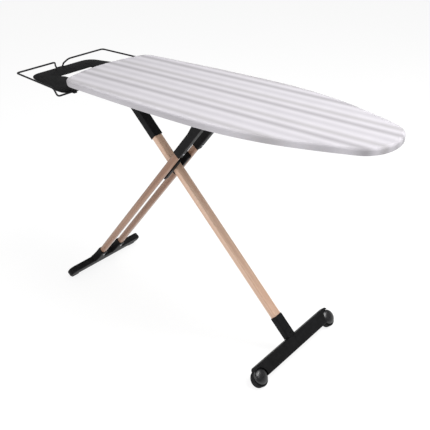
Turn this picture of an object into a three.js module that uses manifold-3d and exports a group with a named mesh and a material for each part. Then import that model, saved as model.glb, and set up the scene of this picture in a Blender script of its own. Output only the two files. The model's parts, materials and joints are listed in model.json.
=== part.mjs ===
// Folding ironing board with scissor legs of beech, in millimetres.
// +X runs from the tail with its iron rest to the pointed nose, +Y across, +Z up.
// The board is laid out about the point where the legs cross (x = 0), and the whole
// group is then moved so that the origin is the centre of its footprint, on the floor.
import * as THREE from "three";
import { mergeVertices } from "three/addons/utils/BufferGeometryUtils.js";
import Module from "manifold-3d";

const wasm = await Module();
wasm.setup();

// ---- driving dimensions ------------------------------------------------------------

const GAP = 0.3; // between pieces that touch
const RUN = 0.4; // between pieces that turn or slide
const FOOTPRINT_CENTRE_X = 115.5;
const rad = THREE.MathUtils.degToRad;

const BOARD = {
  top: 900, cover: 2, pad: 7.8, panel: 0.7, rimDepth: 11, rimWall: 1.4, hemReach: 24, hemDrop: 2 };
const BOARD_WIDTH = { tail: 212, middle: 231, shoulder: 118 }; // half widths
const BOARD_X = { tail: -363, nose: 850 };

const CROSSING = new THREE.Vector3(0, 0, 590);
const HINGE = { x: 240, z: 860, pinRadius: 5, headRadius: 12 }; // both leg heads, at -x and +x

const LEG_A = { angle: 45, width: 36, thick: 24, round: 5, upper: 126, lower: 656, tuck: 45 };
const SLEEVE_A = { width: 40, thick: 30, straight: 250 };
const FOOT_A = { along: 769.5, height: 50, thick: 28, half: 224, round: 13 };
const WHEEL = { along: 782, y: 213, radius: 27.5, thick: 11, dome: 4, axle: 4, back: 1 };
const POCKET = { radius: 28.6, floor: 0.6 }; // in the foot bar's face, for the wheel
const PAD_A = { along: 786.5, radius: 30.5, back: -20.3, front: -6, edge: 1.5 };

const LEG_B = { angle: 50.8, y: 50, width: 26, thick: 25, round: 9, upper: 95, lower: 632, tuck: 40 };
const SLEEVE_B = { width: 30, thick: 31, flareFrom: 206, flareTo: 253, flare: 6 };
const SADDLE = { inner: 18.6, up: 55, down: 60, thick: 31 };
const FOOT_B = { along: 721, height: 50, thick: 27, half: 198, round: 22 };
const PAD_B = { inner: 146, outer: 184, depth: 6.5 };
const SOCKET_B = { half: 15.5, thick: 30, flareAbove: 32, flareOut: 15 };

const RAIL = { inner: 68, outer: 86, bottom: 846, top: 877.3, wall: 1.6, from: -325, to: 566 };
const BRACE = { width: 22, height: 10.6, wall: 1.5, top: 888.2 };
const BRACE_X = { tail: -311, hinge: -240, mid: 150, nose: 551 };

const REST = { top: 846, sheet: 3, skirt: 7, wall: 3, outer: -611.5, inner: -346 };
const SLOT = { outer: -525, inner: -400, half: 85, neck: 70 };
const WIRE = { radius: 3.3, bend: 8, outer: -597, dip: -615.7, jog: -350, back: -336, high: 873 };
const WIRE_LOW = 842.4; // where it passes the tray's edge and runs back under the board
const SCREW = { radius: 4.2, height: 2.4, inset: 22 };

const BRAKE = { y: 27, z: 870.4, radius: 3.4, from: 146, to: 556 };
const LEVER = { ahead: 36, z: 838, radius: 4, inner: 23.5, outer: 196 };

// ---- colours and finishes ----------------------------------------------------------

const finish = (color, roughness, metalness = 0) =>
  new THREE.MeshStandardMaterial({ color, roughness, metalness });
const COTTON = 0xe2e0e6;
const FELT = 0xcfccc6;
const BEECH = 0xc39c7d;
const BLACK_ABS = 0x262629;
const BLACK_STEEL = 0x2c2c2e;
const GREY_STEEL = 0x8b8d90;
const RUBBER = 0x1c1c1d;

// ---- solids ------------------------------------------------------------------------

function toSolid(geometry) {
  const g = geometry.clone();
  g.deleteAttribute("normal");
  g.deleteAttribute("uv");
  const merged = mergeVertices(g, 1e-4);
  const vertProperties = new Float32Array(merged.attributes.position.array);
  const triVerts = new Uint32Array(merged.index.array);
  return new wasm.Manifold(new wasm.Mesh({ numProp: 3, vertProperties, triVerts }));
}

function toGeometry(solid) {
  const { vertProperties, triVerts, numProp } = solid.getMesh();
  const g = new THREE.BufferGeometry();
  const place = [];
  for (let i = 0; i < vertProperties.length; i += numProp) {
    place.push(vertProperties[i], vertProperties[i + 1], vertProperties[i + 2]);
  }
  g.setAttribute("position", new THREE.Float32BufferAttribute(place, 3));
  g.setIndex(Array.from(triVerts));
  g.computeVertexNormals();
  return g;
}

function cut(base, ...tools) {
  return toGeometry(tools.reduce((solid, tool) => solid.subtract(toSolid(tool)), toSolid(base)));
}

function join(...pieces) {
  const [first, ...others] = pieces.map(toSolid);
  return toGeometry(others.reduce((solid, other) => solid.add(other), first));
}

// Extrudes a flat shape from z = low to z = high, with rounded edges of the given bevel.
function slab(shape, low, high, { bevel = 0, curveSegments = 6 } = {}) {
  const g = new THREE.ExtrudeGeometry(shape, {
    depth: high - low - 2 * bevel,
    bevelEnabled: bevel > 0,
    bevelThickness: bevel,
    bevelSize: bevel,
    bevelOffset: -bevel,
    bevelSegments: 2,
    curveSegments,
  });
  return g.translate(0, 0, low + bevel);
}

// A shape drawn in x and z, extruded across y from near to far.
const across = (shape, near, far, options) =>
  slab(shape, -far, -near, options).rotateX(Math.PI / 2);

// A section drawn in y and z, extruded along x.
function along(section, from, to, options) {
  const turn = new THREE.Matrix4().makeBasis(
    new THREE.Vector3(0, 1, 0), new THREE.Vector3(0, 0, 1), new THREE.Vector3(1, 0, 0));
  return slab(section, from, to, options).applyMatrix4(turn);
}

function box(x, y, z) {
  const g = new THREE.BoxGeometry(x[1] - x[0], y[1] - y[0], z[1] - z[0]);
  return g.translate((x[0] + x[1]) / 2, (y[0] + y[1]) / 2, (z[0] + z[1]) / 2);
}

// A round bar from a to b.
function rod(a, b, radius, sides = 16) {
  const start = new THREE.Vector3(...a);
  const run = new THREE.Vector3(...b).sub(start);
  const g = new THREE.CylinderGeometry(radius, radius, run.length(), sides);
  const turn = new THREE.Quaternion().setFromUnitVectors(
    new THREE.Vector3(0, 1, 0), run.clone().normalize());
  return g.applyQuaternion(turn).translate(...start.addScaledVector(run, 0.5));
}

const pinAcross = (x, z, near, far, radius, sides = 16) =>
  rod([x, near, z], [x, far, z], radius, sides);

function roundedRect(width, height, radius) {
  const x = width / 2 - radius;
  const y = height / 2 - radius;
  const s = new THREE.Shape();
  s.absarc(x, y, radius, 0, Math.PI / 2);
  s.absarc(-x, y, radius, Math.PI / 2, Math.PI);
  s.absarc(-x, -y, radius, Math.PI, 1.5 * Math.PI);
  s.absarc(x, -y, radius, 1.5 * Math.PI, 2 * Math.PI);
  return s;
}

const polygon = (points) => new THREE.Shape(points.map(([x, y]) => new THREE.Vector2(x, y)));

// A polygon whose corners are rounded, each point being [x, y, radius].
function roundedPolygon(points) {
  const s = new THREE.Shape();
  const count = points.length;
  points.forEach(([x, y, radius = 0], i) => {
    const corner = new THREE.Vector2(x, y);
    const before = new THREE.Vector2(...points[(i + count - 1) % count].slice(0, 2));
    const after = new THREE.Vector2(...points[(i + 1) % count].slice(0, 2));
    const start = corner.clone().add(before.sub(corner).setLength(radius));
    const end = corner.clone().add(after.sub(corner).setLength(radius));
    if (i === 0) s.moveTo(start.x, start.y);
    else s.lineTo(start.x, start.y);
    if (radius > 0) s.quadraticCurveTo(corner.x, corner.y, end.x, end.y);
  });
  return s;
}

// Moves a closed outline, given counter-clockwise, inward by a distance.
function inset(points, distance) {
  const count = points.length;
  return points.map((p, i) => {
    const run = points[(i + 1) % count].clone().sub(points[(i + count - 1) % count]).normalize();
    return new THREE.Vector2(p.x - run.y * distance, p.y + run.x * distance);
  });
}

function ring(outer, inner) {
  const s = new THREE.Shape(outer);
  s.holes.push(new THREE.Path(inner));
  return s;
}

// A path that an extrusion follows through exactly these points, however unevenly spaced.
class Route extends THREE.Curve {
  constructor(points) {
    super();
    this.points = points;
  }
  getPoint(t) {
    const at = t * (this.points.length - 1);
    const i = Math.min(Math.floor(at), this.points.length - 2);
    return this.points[i].clone().lerp(this.points[i + 1], at - i);
  }
  getUtoTmapping(u) {
    return u;
  }
}

// A round wire through a list of corners, each bent to a radius.
function bentWire(corners, radius, bend) {
  const p = corners.map((q) => new THREE.Vector3(...q));
  const points = [p[0]];
  for (let i = 1; i < p.length - 1; i++) {
    const back = p[i - 1].clone().sub(p[i]);
    const ahead = p[i + 1].clone().sub(p[i]);
    const reach = Math.min(bend, back.length() / 2.1, ahead.length() / 2.1);
    const start = p[i].clone().add(back.setLength(reach));
    const end = p[i].clone().add(ahead.setLength(reach));
    points.push(...new THREE.QuadraticBezierCurve3(start, p[i], end).getPoints(4));
  }
  points.push(p[p.length - 1]);
  return wireAlong(new Route(points), points.length - 1, radius);
}

// A wire of eight sides along a path.
const wireAlong = (path, steps, radius) =>
  new THREE.ExtrudeGeometry(roundedRect(2 * radius, 2 * radius, radius * 0.6), {
    extrudePath: path, steps, bevelEnabled: false, curveSegments: 1 });

// ---- the scene graph ---------------------------------------------------------------

const board = new THREE.Group();

function add(parent, name, geometry, material) {
  const mesh = new THREE.Mesh(geometry, material);
  mesh.name = name;
  parent.add(mesh);
  return mesh;
}

const SIDES = [["near", -1], ["far", 1]];

// A leg's own frame: +x down the leg from the crossing, +y as the board's.
function legFrame(turn) {
  const frame = new THREE.Group();
  frame.position.copy(CROSSING);
  frame.rotation.y = rad(turn);
  frame.updateMatrixWorld(true);
  board.add(frame);
  return frame;
}

// A point of the board in a leg's own frame, as [x, z].
function inFrame(frame, x, z) {
  const p = frame.worldToLocal(new THREE.Vector3(x, 0, z));
  return [p.x, p.z];
}

// A block that takes away everything below the floor, in a leg's own frame.
function belowFloor(frame) {
  const g = box([-900, 900], [-300, 300], [-100, 0]);
  return g.applyMatrix4(frame.matrixWorld.clone().invert());
}

// ---- the ironing surface -----------------------------------------------------------

// The half outline is five cubic curves from the tail's middle to the nose's tip.
function boardOutline(steps = 7) {
  const { tail, middle, shoulder } = BOARD_WIDTH;
  const half = [
    [[BOARD_X.tail, 0], [BOARD_X.tail, 80], [-352, 120], [-343, 155]],
    [[-343, 155], [-335, 205], [-315, tail], [-262, tail]],
    [[-262, tail], [-100, 223], [80, middle], [240, middle]],
    [[240, middle], [480, middle], [600, 190], [780, shoulder]],
    [[780, shoulder], [822, 101], [BOARD_X.nose, 60], [BOARD_X.nose, 0]],
  ];
  const points = [];
  half.forEach((curve) => {
    const bezier = new THREE.CubicBezierCurve(...curve.map(([x, y]) => new THREE.Vector2(x, y)));
    points.push(...bezier.getPoints(steps).slice(0, -1));
  });
  points.push(new THREE.Vector2(BOARD_X.nose, 0));
  const far = points.slice(1, -1).map((p) => new THREE.Vector2(p.x, -p.y));
  // From the tail round the near side to the nose, and back along the far side.
  return [points[0], ...far, points[points.length - 1], ...points.slice(1, -1).reverse()];
}

// Half the board's width at a station x, or of an outline that lies inside it.
function halfWidth(x, margin = 0) {
  const edge = inset(boardOutline(), margin).filter((p) => p.y > 0).sort((a, b) => a.x - b.x);
  const i = edge.findIndex((p) => p.x >= x);
  const [a, b] = [edge[i - 1], edge[i]];
  return a.y + ((b.y - a.y) * (x - a.x)) / (b.x - a.x);
}

const LAYER = {};
LAYER.padTop = BOARD.top - BOARD.cover - GAP;
LAYER.panelTop = LAYER.padTop - BOARD.pad - GAP;
LAYER.rimTop = LAYER.panelTop - BOARD.panel - GAP;
LAYER.rimBottom = LAYER.rimTop - BOARD.rimDepth;
LAYER.hemTop = LAYER.rimBottom - GAP;
LAYER.hemBottom = LAYER.hemTop - BOARD.hemDrop;

// The fitted cotton cover: a cap over the pad with a hem turned under the rim.
function makeCover() {
  const outline = boardOutline();
  const outer = slab(new THREE.Shape(outline), LAYER.hemBottom, BOARD.top, { bevel: 3 });
  const room = slab(new THREE.Shape(inset(outline, BOARD.cover)), LAYER.hemTop, BOARD.top - BOARD.cover);
  const mouth = slab(new THREE.Shape(inset(outline, BOARD.hemReach)),
    LAYER.hemBottom - 1, LAYER.hemTop + 1);
  add(board, "cover", cut(outer, room, mouth), finish(COTTON, 0.9));
}

function makePad() {
  const outline = inset(boardOutline(), BOARD.cover + GAP);
  const pad = slab(new THREE.Shape(outline), LAYER.padTop - BOARD.pad, LAYER.padTop);
  add(board, "felt_pad", pad, finish(FELT, 0.95));
}

// The steam panel: sheet steel with rows of six-sided vents.
function makeSteamPanel() {
  const ventRadius = 12;
  const pitch = { x: 84, y: 66 };
  const shape = new THREE.Shape(inset(boardOutline(), BOARD.cover + 1));
  for (let x = -300; x < 800; x += pitch.x) {
    const reach = halfWidth(x) - 34;
    for (let row = -3; row <= 3; row++) {
      const y = row * pitch.y;
      if (Math.abs(y) > reach) continue;
      const vent = new THREE.Path();
      for (let k = 0; k < 6; k++) {
        const a = (k * Math.PI) / 3;
        const at = [x + ventRadius * Math.cos(a), y + ventRadius * Math.sin(a)];
        if (k === 0) vent.moveTo(...at);
        else vent.lineTo(...at);
      }
      vent.closePath();
      shape.holes.push(vent);
    }
  }
  const sheet = slab(shape, LAYER.rimTop + GAP, LAYER.panelTop);
  add(board, "steam_panel", sheet, finish(GREY_STEEL, 0.5, 0.6));
}

const RIM_INSET = BOARD.cover + GAP;

// The rim is a steel channel, open underneath, that follows the whole outline.
function makeRim() {
  const outline = boardOutline();
  const band = (margin) => ring(
    inset(outline, RIM_INSET + margin), inset(outline, RIM_INSET + BOARD.rimDepth - margin));
  const rim = cut(
    slab(band(0), LAYER.rimBottom, LAYER.rimTop),
    slab(band(BOARD.rimWall), LAYER.rimBottom - 1, LAYER.rimTop - BOARD.rimWall));
  add(board, "rim_channel", rim, finish(BLACK_STEEL, 0.5, 0.4));
}

// Cross braces are channels, open underneath, from rim to rim.
function makeBraces() {
  const { width, height, wall, top } = BRACE;
  for (const [name, x] of Object.entries(BRACE_X)) {
    const low = top - height;
    const w = width / 2;
    const margin = RIM_INSET + BOARD.rimDepth + 1;
    const end = Math.min(halfWidth(x - w, margin), halfWidth(x + w, margin));
    const section = polygon([
      [x - w, low], [x - w + wall, low], [x - w + wall, top - wall], [x + w - wall, top - wall],
      [x + w - wall, low], [x + w, low], [x + w, top], [x - w, top],
    ]);
    add(board, `cross_brace_${name}`, across(section, -end, end), finish(BLACK_STEEL, 0.5, 0.4));
  }
}

// The guide rails are channels that face each other; the carriage's blocks run in them.
function makeRails() {
  const { inner, outer, bottom, top, wall, from, to } = RAIL;
  for (const [side, sign] of SIDES) {
    const y = (v) => sign * v;
    const points = [
      [y(inner), bottom], [y(outer), bottom], [y(outer), top], [y(inner), top],
      [y(inner), top - wall], [y(outer - wall), top - wall],
      [y(outer - wall), bottom + wall], [y(inner), bottom + wall],
    ];
    const section = polygon(sign > 0 ? points : points.reverse());
    add(board, `guide_rail_${side}`, along(section, from, to), finish(GREY_STEEL, 0.45, 0.7));
  }
}

// ---- the leg hinge and the brake rod -----------------------------------------------

function makeLegHinge() {
  const cheek = { inner: 21, outer: 24, low: 846, reach: 22 };
  const x = -HINGE.x;
  const plateLow = RAIL.top - 2;
  const plate = box([x - cheek.reach, x + cheek.reach], [-cheek.outer, cheek.outer], [plateLow, RAIL.top]);
  const ears = SIDES.map(([, sign]) => {
    const ear = roundedPolygon([
      [x - 15, cheek.low, 6], [x + 15, cheek.low, 6],
      [x + cheek.reach, plateLow + 1, 0], [x - cheek.reach, plateLow + 1, 0],
    ]);
    const [a, b] = sign > 0 ? [cheek.inner, cheek.outer] : [-cheek.outer, -cheek.inner];
    return across(ear, a, b);
  });
  const bore = pinAcross(x, HINGE.z, -40, 40, HINGE.pinRadius + GAP);
  add(board, "leg_hinge_bracket", cut(join(plate, ...ears), bore), finish(BLACK_STEEL, 0.5, 0.4));
  const pin = join(
    pinAcross(x, HINGE.z, -cheek.outer - GAP, cheek.outer + GAP, HINGE.pinRadius),
    pinAcross(x, HINGE.z, -cheek.outer - 3.5, -cheek.outer - GAP, HINGE.pinRadius + 3),
    pinAcross(x, HINGE.z, cheek.outer + GAP, cheek.outer + 3.5, HINGE.pinRadius + 3));
  add(board, "leg_hinge_pin", pin, finish(GREY_STEEL, 0.35, 0.9));
}

// A smooth rod that the carriage's brake plate grips, held at both ends.
function makeBrakeRod() {
  const { y, z, radius, from, to } = BRAKE;
  add(board, "brake_rod", rod([from, y, z], [to, y, z], radius, 12), finish(GREY_STEEL, 0.3, 0.9));
  const holder = { half: 5, reach: 5.2, low: 864.5 };
  for (const [name, x] of [["tail", from + 7], ["nose", to - 7]]) {
    const block = box([x - holder.half, x + holder.half], [y - holder.reach, y + holder.reach],
      [holder.low, RAIL.top]);
    const bore = rod([x - 20, y, z], [x + 20, y, z], radius + GAP, 12);
    add(board, `rod_holder_${name}`, cut(block, bore), finish(BLACK_STEEL, 0.5, 0.4));
  }
}

// ---- the iron rest and its wire rack -----------------------------------------------

function restOutline(margin = 0) {
  const { outer, inner } = REST;
  const half = [
    [outer + margin, 149 - margin, 46], [-478, 178 - margin, 20], [-400, 195 - margin, 16],
    [inner - margin, 195 - margin, 26],
  ];
  const near = half.map(([x, y, r]) => [x, -y, r]);
  return roundedPolygon([...near, ...half.reverse()]);
}

function slotOutline(margin = 0) {
  const { outer, inner, half, neck } = SLOT;
  return roundedPolygon([
    [outer - margin, -half - margin, 6], [outer + 30, -neck - margin, 4],
    [inner + margin, -neck - margin, 10], [inner + margin, neck + margin, 10],
    [outer + 30, neck + margin, 4], [outer - margin, half + margin, 6],
  ]);
}

// A pressed tray: a flat top with a skirt turned down round its edge and round its slot.
function makeIronRest() {
  const { top, sheet, skirt, wall } = REST;
  const body = slab(restOutline(), top - skirt, top, { bevel: 1.5, curveSegments: 5 });
  const under = slab(restOutline(wall), top - skirt - 1, top - sheet, { curveSegments: 5 });
  const slot = slab(slotOutline(), top - skirt - 2, top + 1, { curveSegments: 3 });
  const slotWall = cut(
    slab(slotOutline(wall), top - skirt, top - sheet + 0.5, { curveSegments: 3 }), slot);
  const tray = cut(join(cut(body, under), slotWall), slot);
  add(board, "iron_rest", tray, finish(BLACK_STEEL, 0.6, 0.2));
}

// Two flat arms carry the iron rest from the tail brace, stepping down under the wire.
function makeRestArms() {
  const arm = { width: 20, wall: 3, reach: -470 };
  const low = REST.top - REST.skirt - GAP - arm.wall;
  const high = RAIL.top - arm.wall;
  const [a, b] = [BRACE_X.tail - 10, BRACE_X.tail + 10];
  const profile = polygon([
    [arm.reach, low], [a - 4, low], [a + 3, high], [b, high], [b, high + arm.wall],
    [a, high + arm.wall], [a - 7, low + arm.wall], [arm.reach, low + arm.wall],
  ]);
  for (const [side, sign] of SIDES) {
    const y = sign * 112;
    const piece = across(profile, y - arm.width / 2, y + arm.width / 2);
    add(board, `rest_arm_${side}`, piece, finish(BLACK_STEEL, 0.5, 0.4));
  }
}

// The rack is one bent wire: it dips past the tray's edge in the middle, stands above the
// tray at its corners, and steps down at the board to run back underneath.
function rackRoute() {
  const { outer, dip, jog, back, high } = WIRE;
  const half = [
    [dip, 15, WIRE_LOW], [dip, 20, WIRE_LOW + 12], [outer, 34, high], [outer, 214, high],
    [jog - 8, 232, high - 7], [back, 235, WIRE_LOW], [back, 120, WIRE_LOW],
  ];
  const near = half.map(([x, y, z]) => [x, -y, z]).reverse();
  return [...near, ...half];
}

function makeWireRack() {
  const rack = bentWire(rackRoute(), WIRE.radius, WIRE.bend);
  add(board, "wire_rack", rack, finish(BLACK_STEEL, 0.45, 0.5));
}

// Clips hold the wire: one under the tray's outer edge and two behind it, under the board.
function makeWireClips() {
  const reach = WIRE.radius * 1.17; // to the corners of its eight sides
  const hold = reach + GAP;
  const tray = REST.top - REST.skirt - GAP;
  const saddle = box([WIRE.dip - WIRE.radius, REST.outer + 24], [-6, 6],
    [tray - 4.5, Math.min(tray, WIRE_LOW - reach - GAP)]);
  add(board, "wire_clip_tail", saddle, finish(BLACK_ABS, 0.5));
  for (const [side, sign] of SIDES) {
    const y = sign * 160;
    const clip = cut(
      box([REST.inner + GAP, WIRE.back + 8], [y - 7, y + 7], [WIRE_LOW - 6, WIRE_LOW + 5]),
      rod([WIRE.back, y - 9, WIRE_LOW], [WIRE.back, y + 9, WIRE_LOW], hold, 12));
    add(board, `wire_clip_${side}`, clip, finish(BLACK_ABS, 0.5));
  }
}

// ---- the single leg (leg A) --------------------------------------------------------

const legA = legFrame(LEG_A.angle);

function makeLegAWood() {
  const section = roundedRect(LEG_A.width, LEG_A.thick, LEG_A.round);
  const stick = along(section, -LEG_A.upper - LEG_A.tuck, LEG_A.lower + LEG_A.tuck,
    { curveSegments: 4 });
  const bore = pinAcross(0, 0, -30, 30, 6, 20);
  add(legA, "leg_a_wood", cut(stick, bore), finish(BEECH, 0.55));
}

const woodRoom = (leg, from, to) =>
  along(roundedRect(leg.width + 2 * GAP, leg.thick + 2 * GAP, leg.round), from, to,
    { curveSegments: 4 });

// The head sleeve runs straight over the wood and turns up to the hinge pin.
function makeLegAUpperSleeve() {
  const [px, pz] = inFrame(legA, -HINGE.x, HINGE.z);
  const t = SLEEVE_A.thick / 2;
  const r = HINGE.headRadius;
  const s = new THREE.Shape();
  s.moveTo(-LEG_A.upper, -t);
  s.lineTo(-LEG_A.upper, t);
  s.lineTo(-SLEEVE_A.straight + 8, t);
  s.lineTo(px + 6, pz + r * 0.9);
  s.absarc(px, pz, r, Math.PI / 3, Math.PI * 1.42, false);
  s.lineTo(-SLEEVE_A.straight - 30, -t);
  const body = across(s, -SLEEVE_A.width / 2, SLEEVE_A.width / 2, { bevel: 3, curveSegments: 8 });
  const room = woodRoom(LEG_A, -LEG_A.upper - LEG_A.tuck - GAP, -LEG_A.upper + 1);
  const bore = pinAcross(px, pz, -30, 30, HINGE.pinRadius + GAP);
  add(legA, "leg_a_upper_sleeve", cut(body, room, bore), finish(BLACK_ABS, 0.45));
}

const FOOT_A_TOP = FOOT_A.along - FOOT_A.height / 2;

function makeLegALowerSleeve() {
  const section = roundedRect(SLEEVE_A.width, SLEEVE_A.thick, LEG_A.round + 1);
  const body = along(section, LEG_A.lower, FOOT_A_TOP - GAP, { curveSegments: 4 });
  const room = woodRoom(LEG_A, LEG_A.lower - 1, LEG_A.lower + LEG_A.tuck + GAP);
  add(legA, "leg_a_lower_sleeve", cut(body, room), finish(BLACK_ABS, 0.45));
}

// The foot bar's outline in the leg's own frame, or one that lies outside it.
function frontFootOutline(margin = 0) {
  const { along: x, height, half, round } = FOOT_A;
  const top = x - height / 2 - margin;
  const bottom = x + height / 2 + margin;
  const end = half + margin;
  return roundedPolygon([[top, -end, round], [bottom, -end, 24], [bottom, end, 24], [top, end, round]]);
}

// The foot is a flat bar across the leg's end, with a round pocket for a wheel at each end.
function makeFrontFoot() {
  const { thick } = FOOT_A;
  const bar = slab(frontFootOutline(), -thick / 2, thick / 2, { bevel: 3.5, curveSegments: 5 });
  const rooms = SIDES.flatMap(([, sign]) => {
    const at = (z) => [WHEEL.along, sign * WHEEL.y, z];
    return [rod(at(POCKET.floor), at(thick), POCKET.radius, 40),
      rod(at(-thick), at(thick), WHEEL.axle + GAP)];
  });
  add(legA, "front_foot_bar", cut(bar, ...rooms), finish(BLACK_ABS, 0.5));
}

// At each end a wheel turns in the bar's pocket, and a rubber pad wraps under the bar.
function makeWheelsAndPads() {
  const { along: x, y, radius, thick, dome, axle, back } = WHEEL;
  const front = back + thick;
  const axleTip = front - 3;
  const barRoom = slab(frontFootOutline(GAP), -FOOT_A.thick / 2 - GAP, FOOT_A.thick,
    { curveSegments: 5 });
  for (const [side, sign] of SIDES) {
    const place = (g, down) => g.rotateX(Math.PI / 2).translate(down, sign * y, 0);
    const wheelProfile = [
      [axle + RUN, back], [radius - 2, back], [radius, back + 2],
      [radius, front - 2.5], [radius - 2.5, front],
      [radius * 0.62, front + dome * 0.8], [0, front + dome],
      [0, axleTip + 1], [axle + RUN, axleTip + 1], [axle + RUN, back],
    ];
    add(legA, `wheel_${side}`, place(lathe(wheelProfile, 28), x), finish(BLACK_ABS, 0.3));
    const { radius: reach, back: low, front: high, edge } = PAD_A;
    const padProfile = [
      [0, low], [reach - edge, low], [reach, low + edge], [reach, high], [0, high]];
    const pad = cut(place(lathe(padProfile, 32), PAD_A.along), barRoom, belowFloor(legA),
      rod([x, sign * y, low - 5], [x, sign * y, high], axle + GAP));
    add(legA, `foot_pad_${side}`, pad, finish(RUBBER, 0.8));
    add(legA, `wheel_axle_${side}`, rod([x, sign * y, low + 2], [x, sign * y, axleTip], axle),
      finish(GREY_STEEL, 0.35, 0.9));
  }
}

// A profile of [radius, height] turned about the axis, which then stands along -y.
function lathe(profile, sides) {
  const points = profile.map(([r, h]) => new THREE.Vector2(r, h));
  return new THREE.LatheGeometry(points, sides);
}

// ---- the twin leg (leg B) ----------------------------------------------------------

const legB = legFrame(180 - LEG_B.angle);

function makePoles() {
  const section = roundedRect(LEG_B.width, LEG_B.thick, LEG_B.round);
  for (const [side, sign] of SIDES) {
    const y = sign * LEG_B.y;
    const stick = along(section, -LEG_B.upper - LEG_B.tuck, LEG_B.lower + LEG_B.tuck,
      { curveSegments: 4 }).translate(0, y, 0);
    const bore = pinAcross(0, 0, sign * 20, sign * (LEG_B.y + 5), 6, 20);
    add(legB, `leg_b_pole_${side}`, cut(stick, bore), finish(BEECH, 0.55));
  }
}

// The head sleeve swells on its tail side before it turns down to the carriage axle.
function makeLegBUpperSleeves() {
  const [px, pz] = inFrame(legB, HINGE.x, HINGE.z);
  const t = SLEEVE_B.thick / 2;
  const r = HINGE.headRadius + 1;
  const { flareFrom, flareTo, flare } = SLEEVE_B;
  for (const [side, sign] of SIDES) {
    const s = new THREE.Shape();
    s.moveTo(-LEG_B.upper, -t);
    s.lineTo(-LEG_B.upper, t);
    s.lineTo(-flareTo - 40, t);
    s.lineTo(px + 4, pz + r * 0.95);
    s.absarc(px, pz, r, Math.PI * 0.42, Math.PI * 1.3, false);
    s.lineTo(-flareTo - 50, -t - flare * 0.5);
    s.quadraticCurveTo(-flareTo - 20, -t - flare, -flareTo, -t - flare);
    s.lineTo(-flareFrom, -t);
    const y = sign * LEG_B.y;
    const body = across(s, y - SLEEVE_B.width / 2, y + SLEEVE_B.width / 2,
      { bevel: 3, curveSegments: 6 });
    const room = woodRoom(LEG_B, -LEG_B.upper - LEG_B.tuck - GAP, -LEG_B.upper + 1)
      .translate(0, y, 0);
    const bore = pinAcross(px, pz, y - 30, y + 30, HINGE.pinRadius + GAP);
    add(legB, `leg_b_upper_sleeve_${side}`, cut(body, room, bore), finish(BLACK_ABS, 0.45));
  }
}

// Saddles space the poles from the single leg at the crossing and carry its pin.
function makeSaddles() {
  const outer = LEG_B.y - LEG_B.width / 2 - GAP;
  const t = SADDLE.thick / 2;
  const profile = roundedPolygon([
    [-SADDLE.up, -t, 6], [SADDLE.down, -t, 6], [SADDLE.down, t, 6], [-SADDLE.up, t, 6]]);
  for (const [side, sign] of SIDES) {
    const [a, b] = sign > 0 ? [SADDLE.inner, outer] : [-outer, -SADDLE.inner];
    const bore = pinAcross(0, 0, sign * 10, sign * 45, 6, 20);
    add(legB, `pivot_saddle_${side}`, cut(across(profile, a, b, { bevel: 2 }), bore),
      finish(BLACK_ABS, 0.5));
  }
  const pin = pinAcross(0, 0, -LEG_B.y - 4.5, LEG_B.y + 4.5, 5.7, 20);
  add(legB, "cross_pivot_pin", pin, finish(GREY_STEEL, 0.35, 0.9));
}

// The rear foot is a bar with two sockets that flare into it, one for each pole.
function makeRearFoot() {
  const { along: x, height, thick, half, round } = FOOT_B;
  const { half: mouth, thick: deep, flareAbove, flareOut } = SOCKET_B;
  const top = x - height / 2;
  const bottom = x + height / 2;
  const outline = roundedPolygon([
    [top, -half, round], [bottom, -half, round], [bottom, half, round], [top, half, round]]);
  const bar = slab(outline, -thick / 2, thick / 2, { bevel: 3.5, curveSegments: 5 });
  const sockets = SIDES.map(([, sign]) => {
    const y = sign * LEG_B.y;
    const flare = new THREE.Shape();
    flare.moveTo(LEG_B.lower, y + mouth);
    flare.lineTo(LEG_B.lower, y - mouth);
    flare.lineTo(top - flareAbove, y - mouth - 1);
    flare.quadraticCurveTo(top - 8, y - mouth - 3, top + 4, y - mouth - flareOut);
    flare.lineTo(top + 4, y + mouth + flareOut);
    flare.quadraticCurveTo(top - 8, y + mouth + 3, top - flareAbove, y + mouth + 1);
    return slab(flare, -deep / 2, deep / 2, { bevel: 3, curveSegments: 5 });
  });
  const rooms = SIDES.map(([, sign]) =>
    woodRoom(LEG_B, LEG_B.lower - 1, LEG_B.lower + LEG_B.tuck + GAP)
      .translate(0, sign * LEG_B.y, 0));
  add(legB, "rear_foot_bar", cut(join(bar, ...sockets), ...rooms), finish(BLACK_ABS, 0.5));
}

// Rubber pads under the rear foot's ends stand on the floor.
function makeRearPads() {
  const { along: x, height, thick } = FOOT_B;
  const { inner, outer, depth } = PAD_B;
  const top = x + height / 2 + GAP;
  for (const [side, sign] of SIDES) {
    const outline = roundedPolygon([
      [top, sign * inner, 1], [top + depth, sign * (inner + 4), 5],
      [top + depth, sign * (outer - 8), 6], [top, sign * outer, 1]]);
    const pad = cut(slab(outline, -thick / 2, thick / 2, { curveSegments: 4 }),
      belowFloor(legB));
    add(legB, `rear_foot_pad_${side}`, pad, finish(RUBBER, 0.8));
  }
}

// ---- the carriage at the head of the twin leg --------------------------------------

function makeCarriage() {
  const x = HINGE.x;
  const reach = RAIL.outer - RAIL.wall - 1;
  add(board, "carriage_axle", pinAcross(x, HINGE.z, -reach, reach, HINGE.pinRadius),
    finish(GREY_STEEL, 0.35, 0.9));
  const low = RAIL.bottom + RAIL.wall + 0.8;
  const high = RAIL.top - RAIL.wall - 0.8;
  for (const [side, sign] of SIDES) {
    const y = [sign * (RAIL.inner + 1), sign * reach].sort((a, b) => a - b);
    const profile = roundedPolygon([
      [x - 18, low, 4], [x + 18, low, 4], [x + 18, high, 4], [x - 18, high, 4]]);
    const bore = pinAcross(x, HINGE.z, y[0] - 5, y[1] + 5, HINGE.pinRadius + GAP);
    add(board, `slide_block_${side}`, cut(across(profile, y[0], y[1]), bore),
      finish(0xd9d6cc, 0.5));
  }
}

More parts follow.
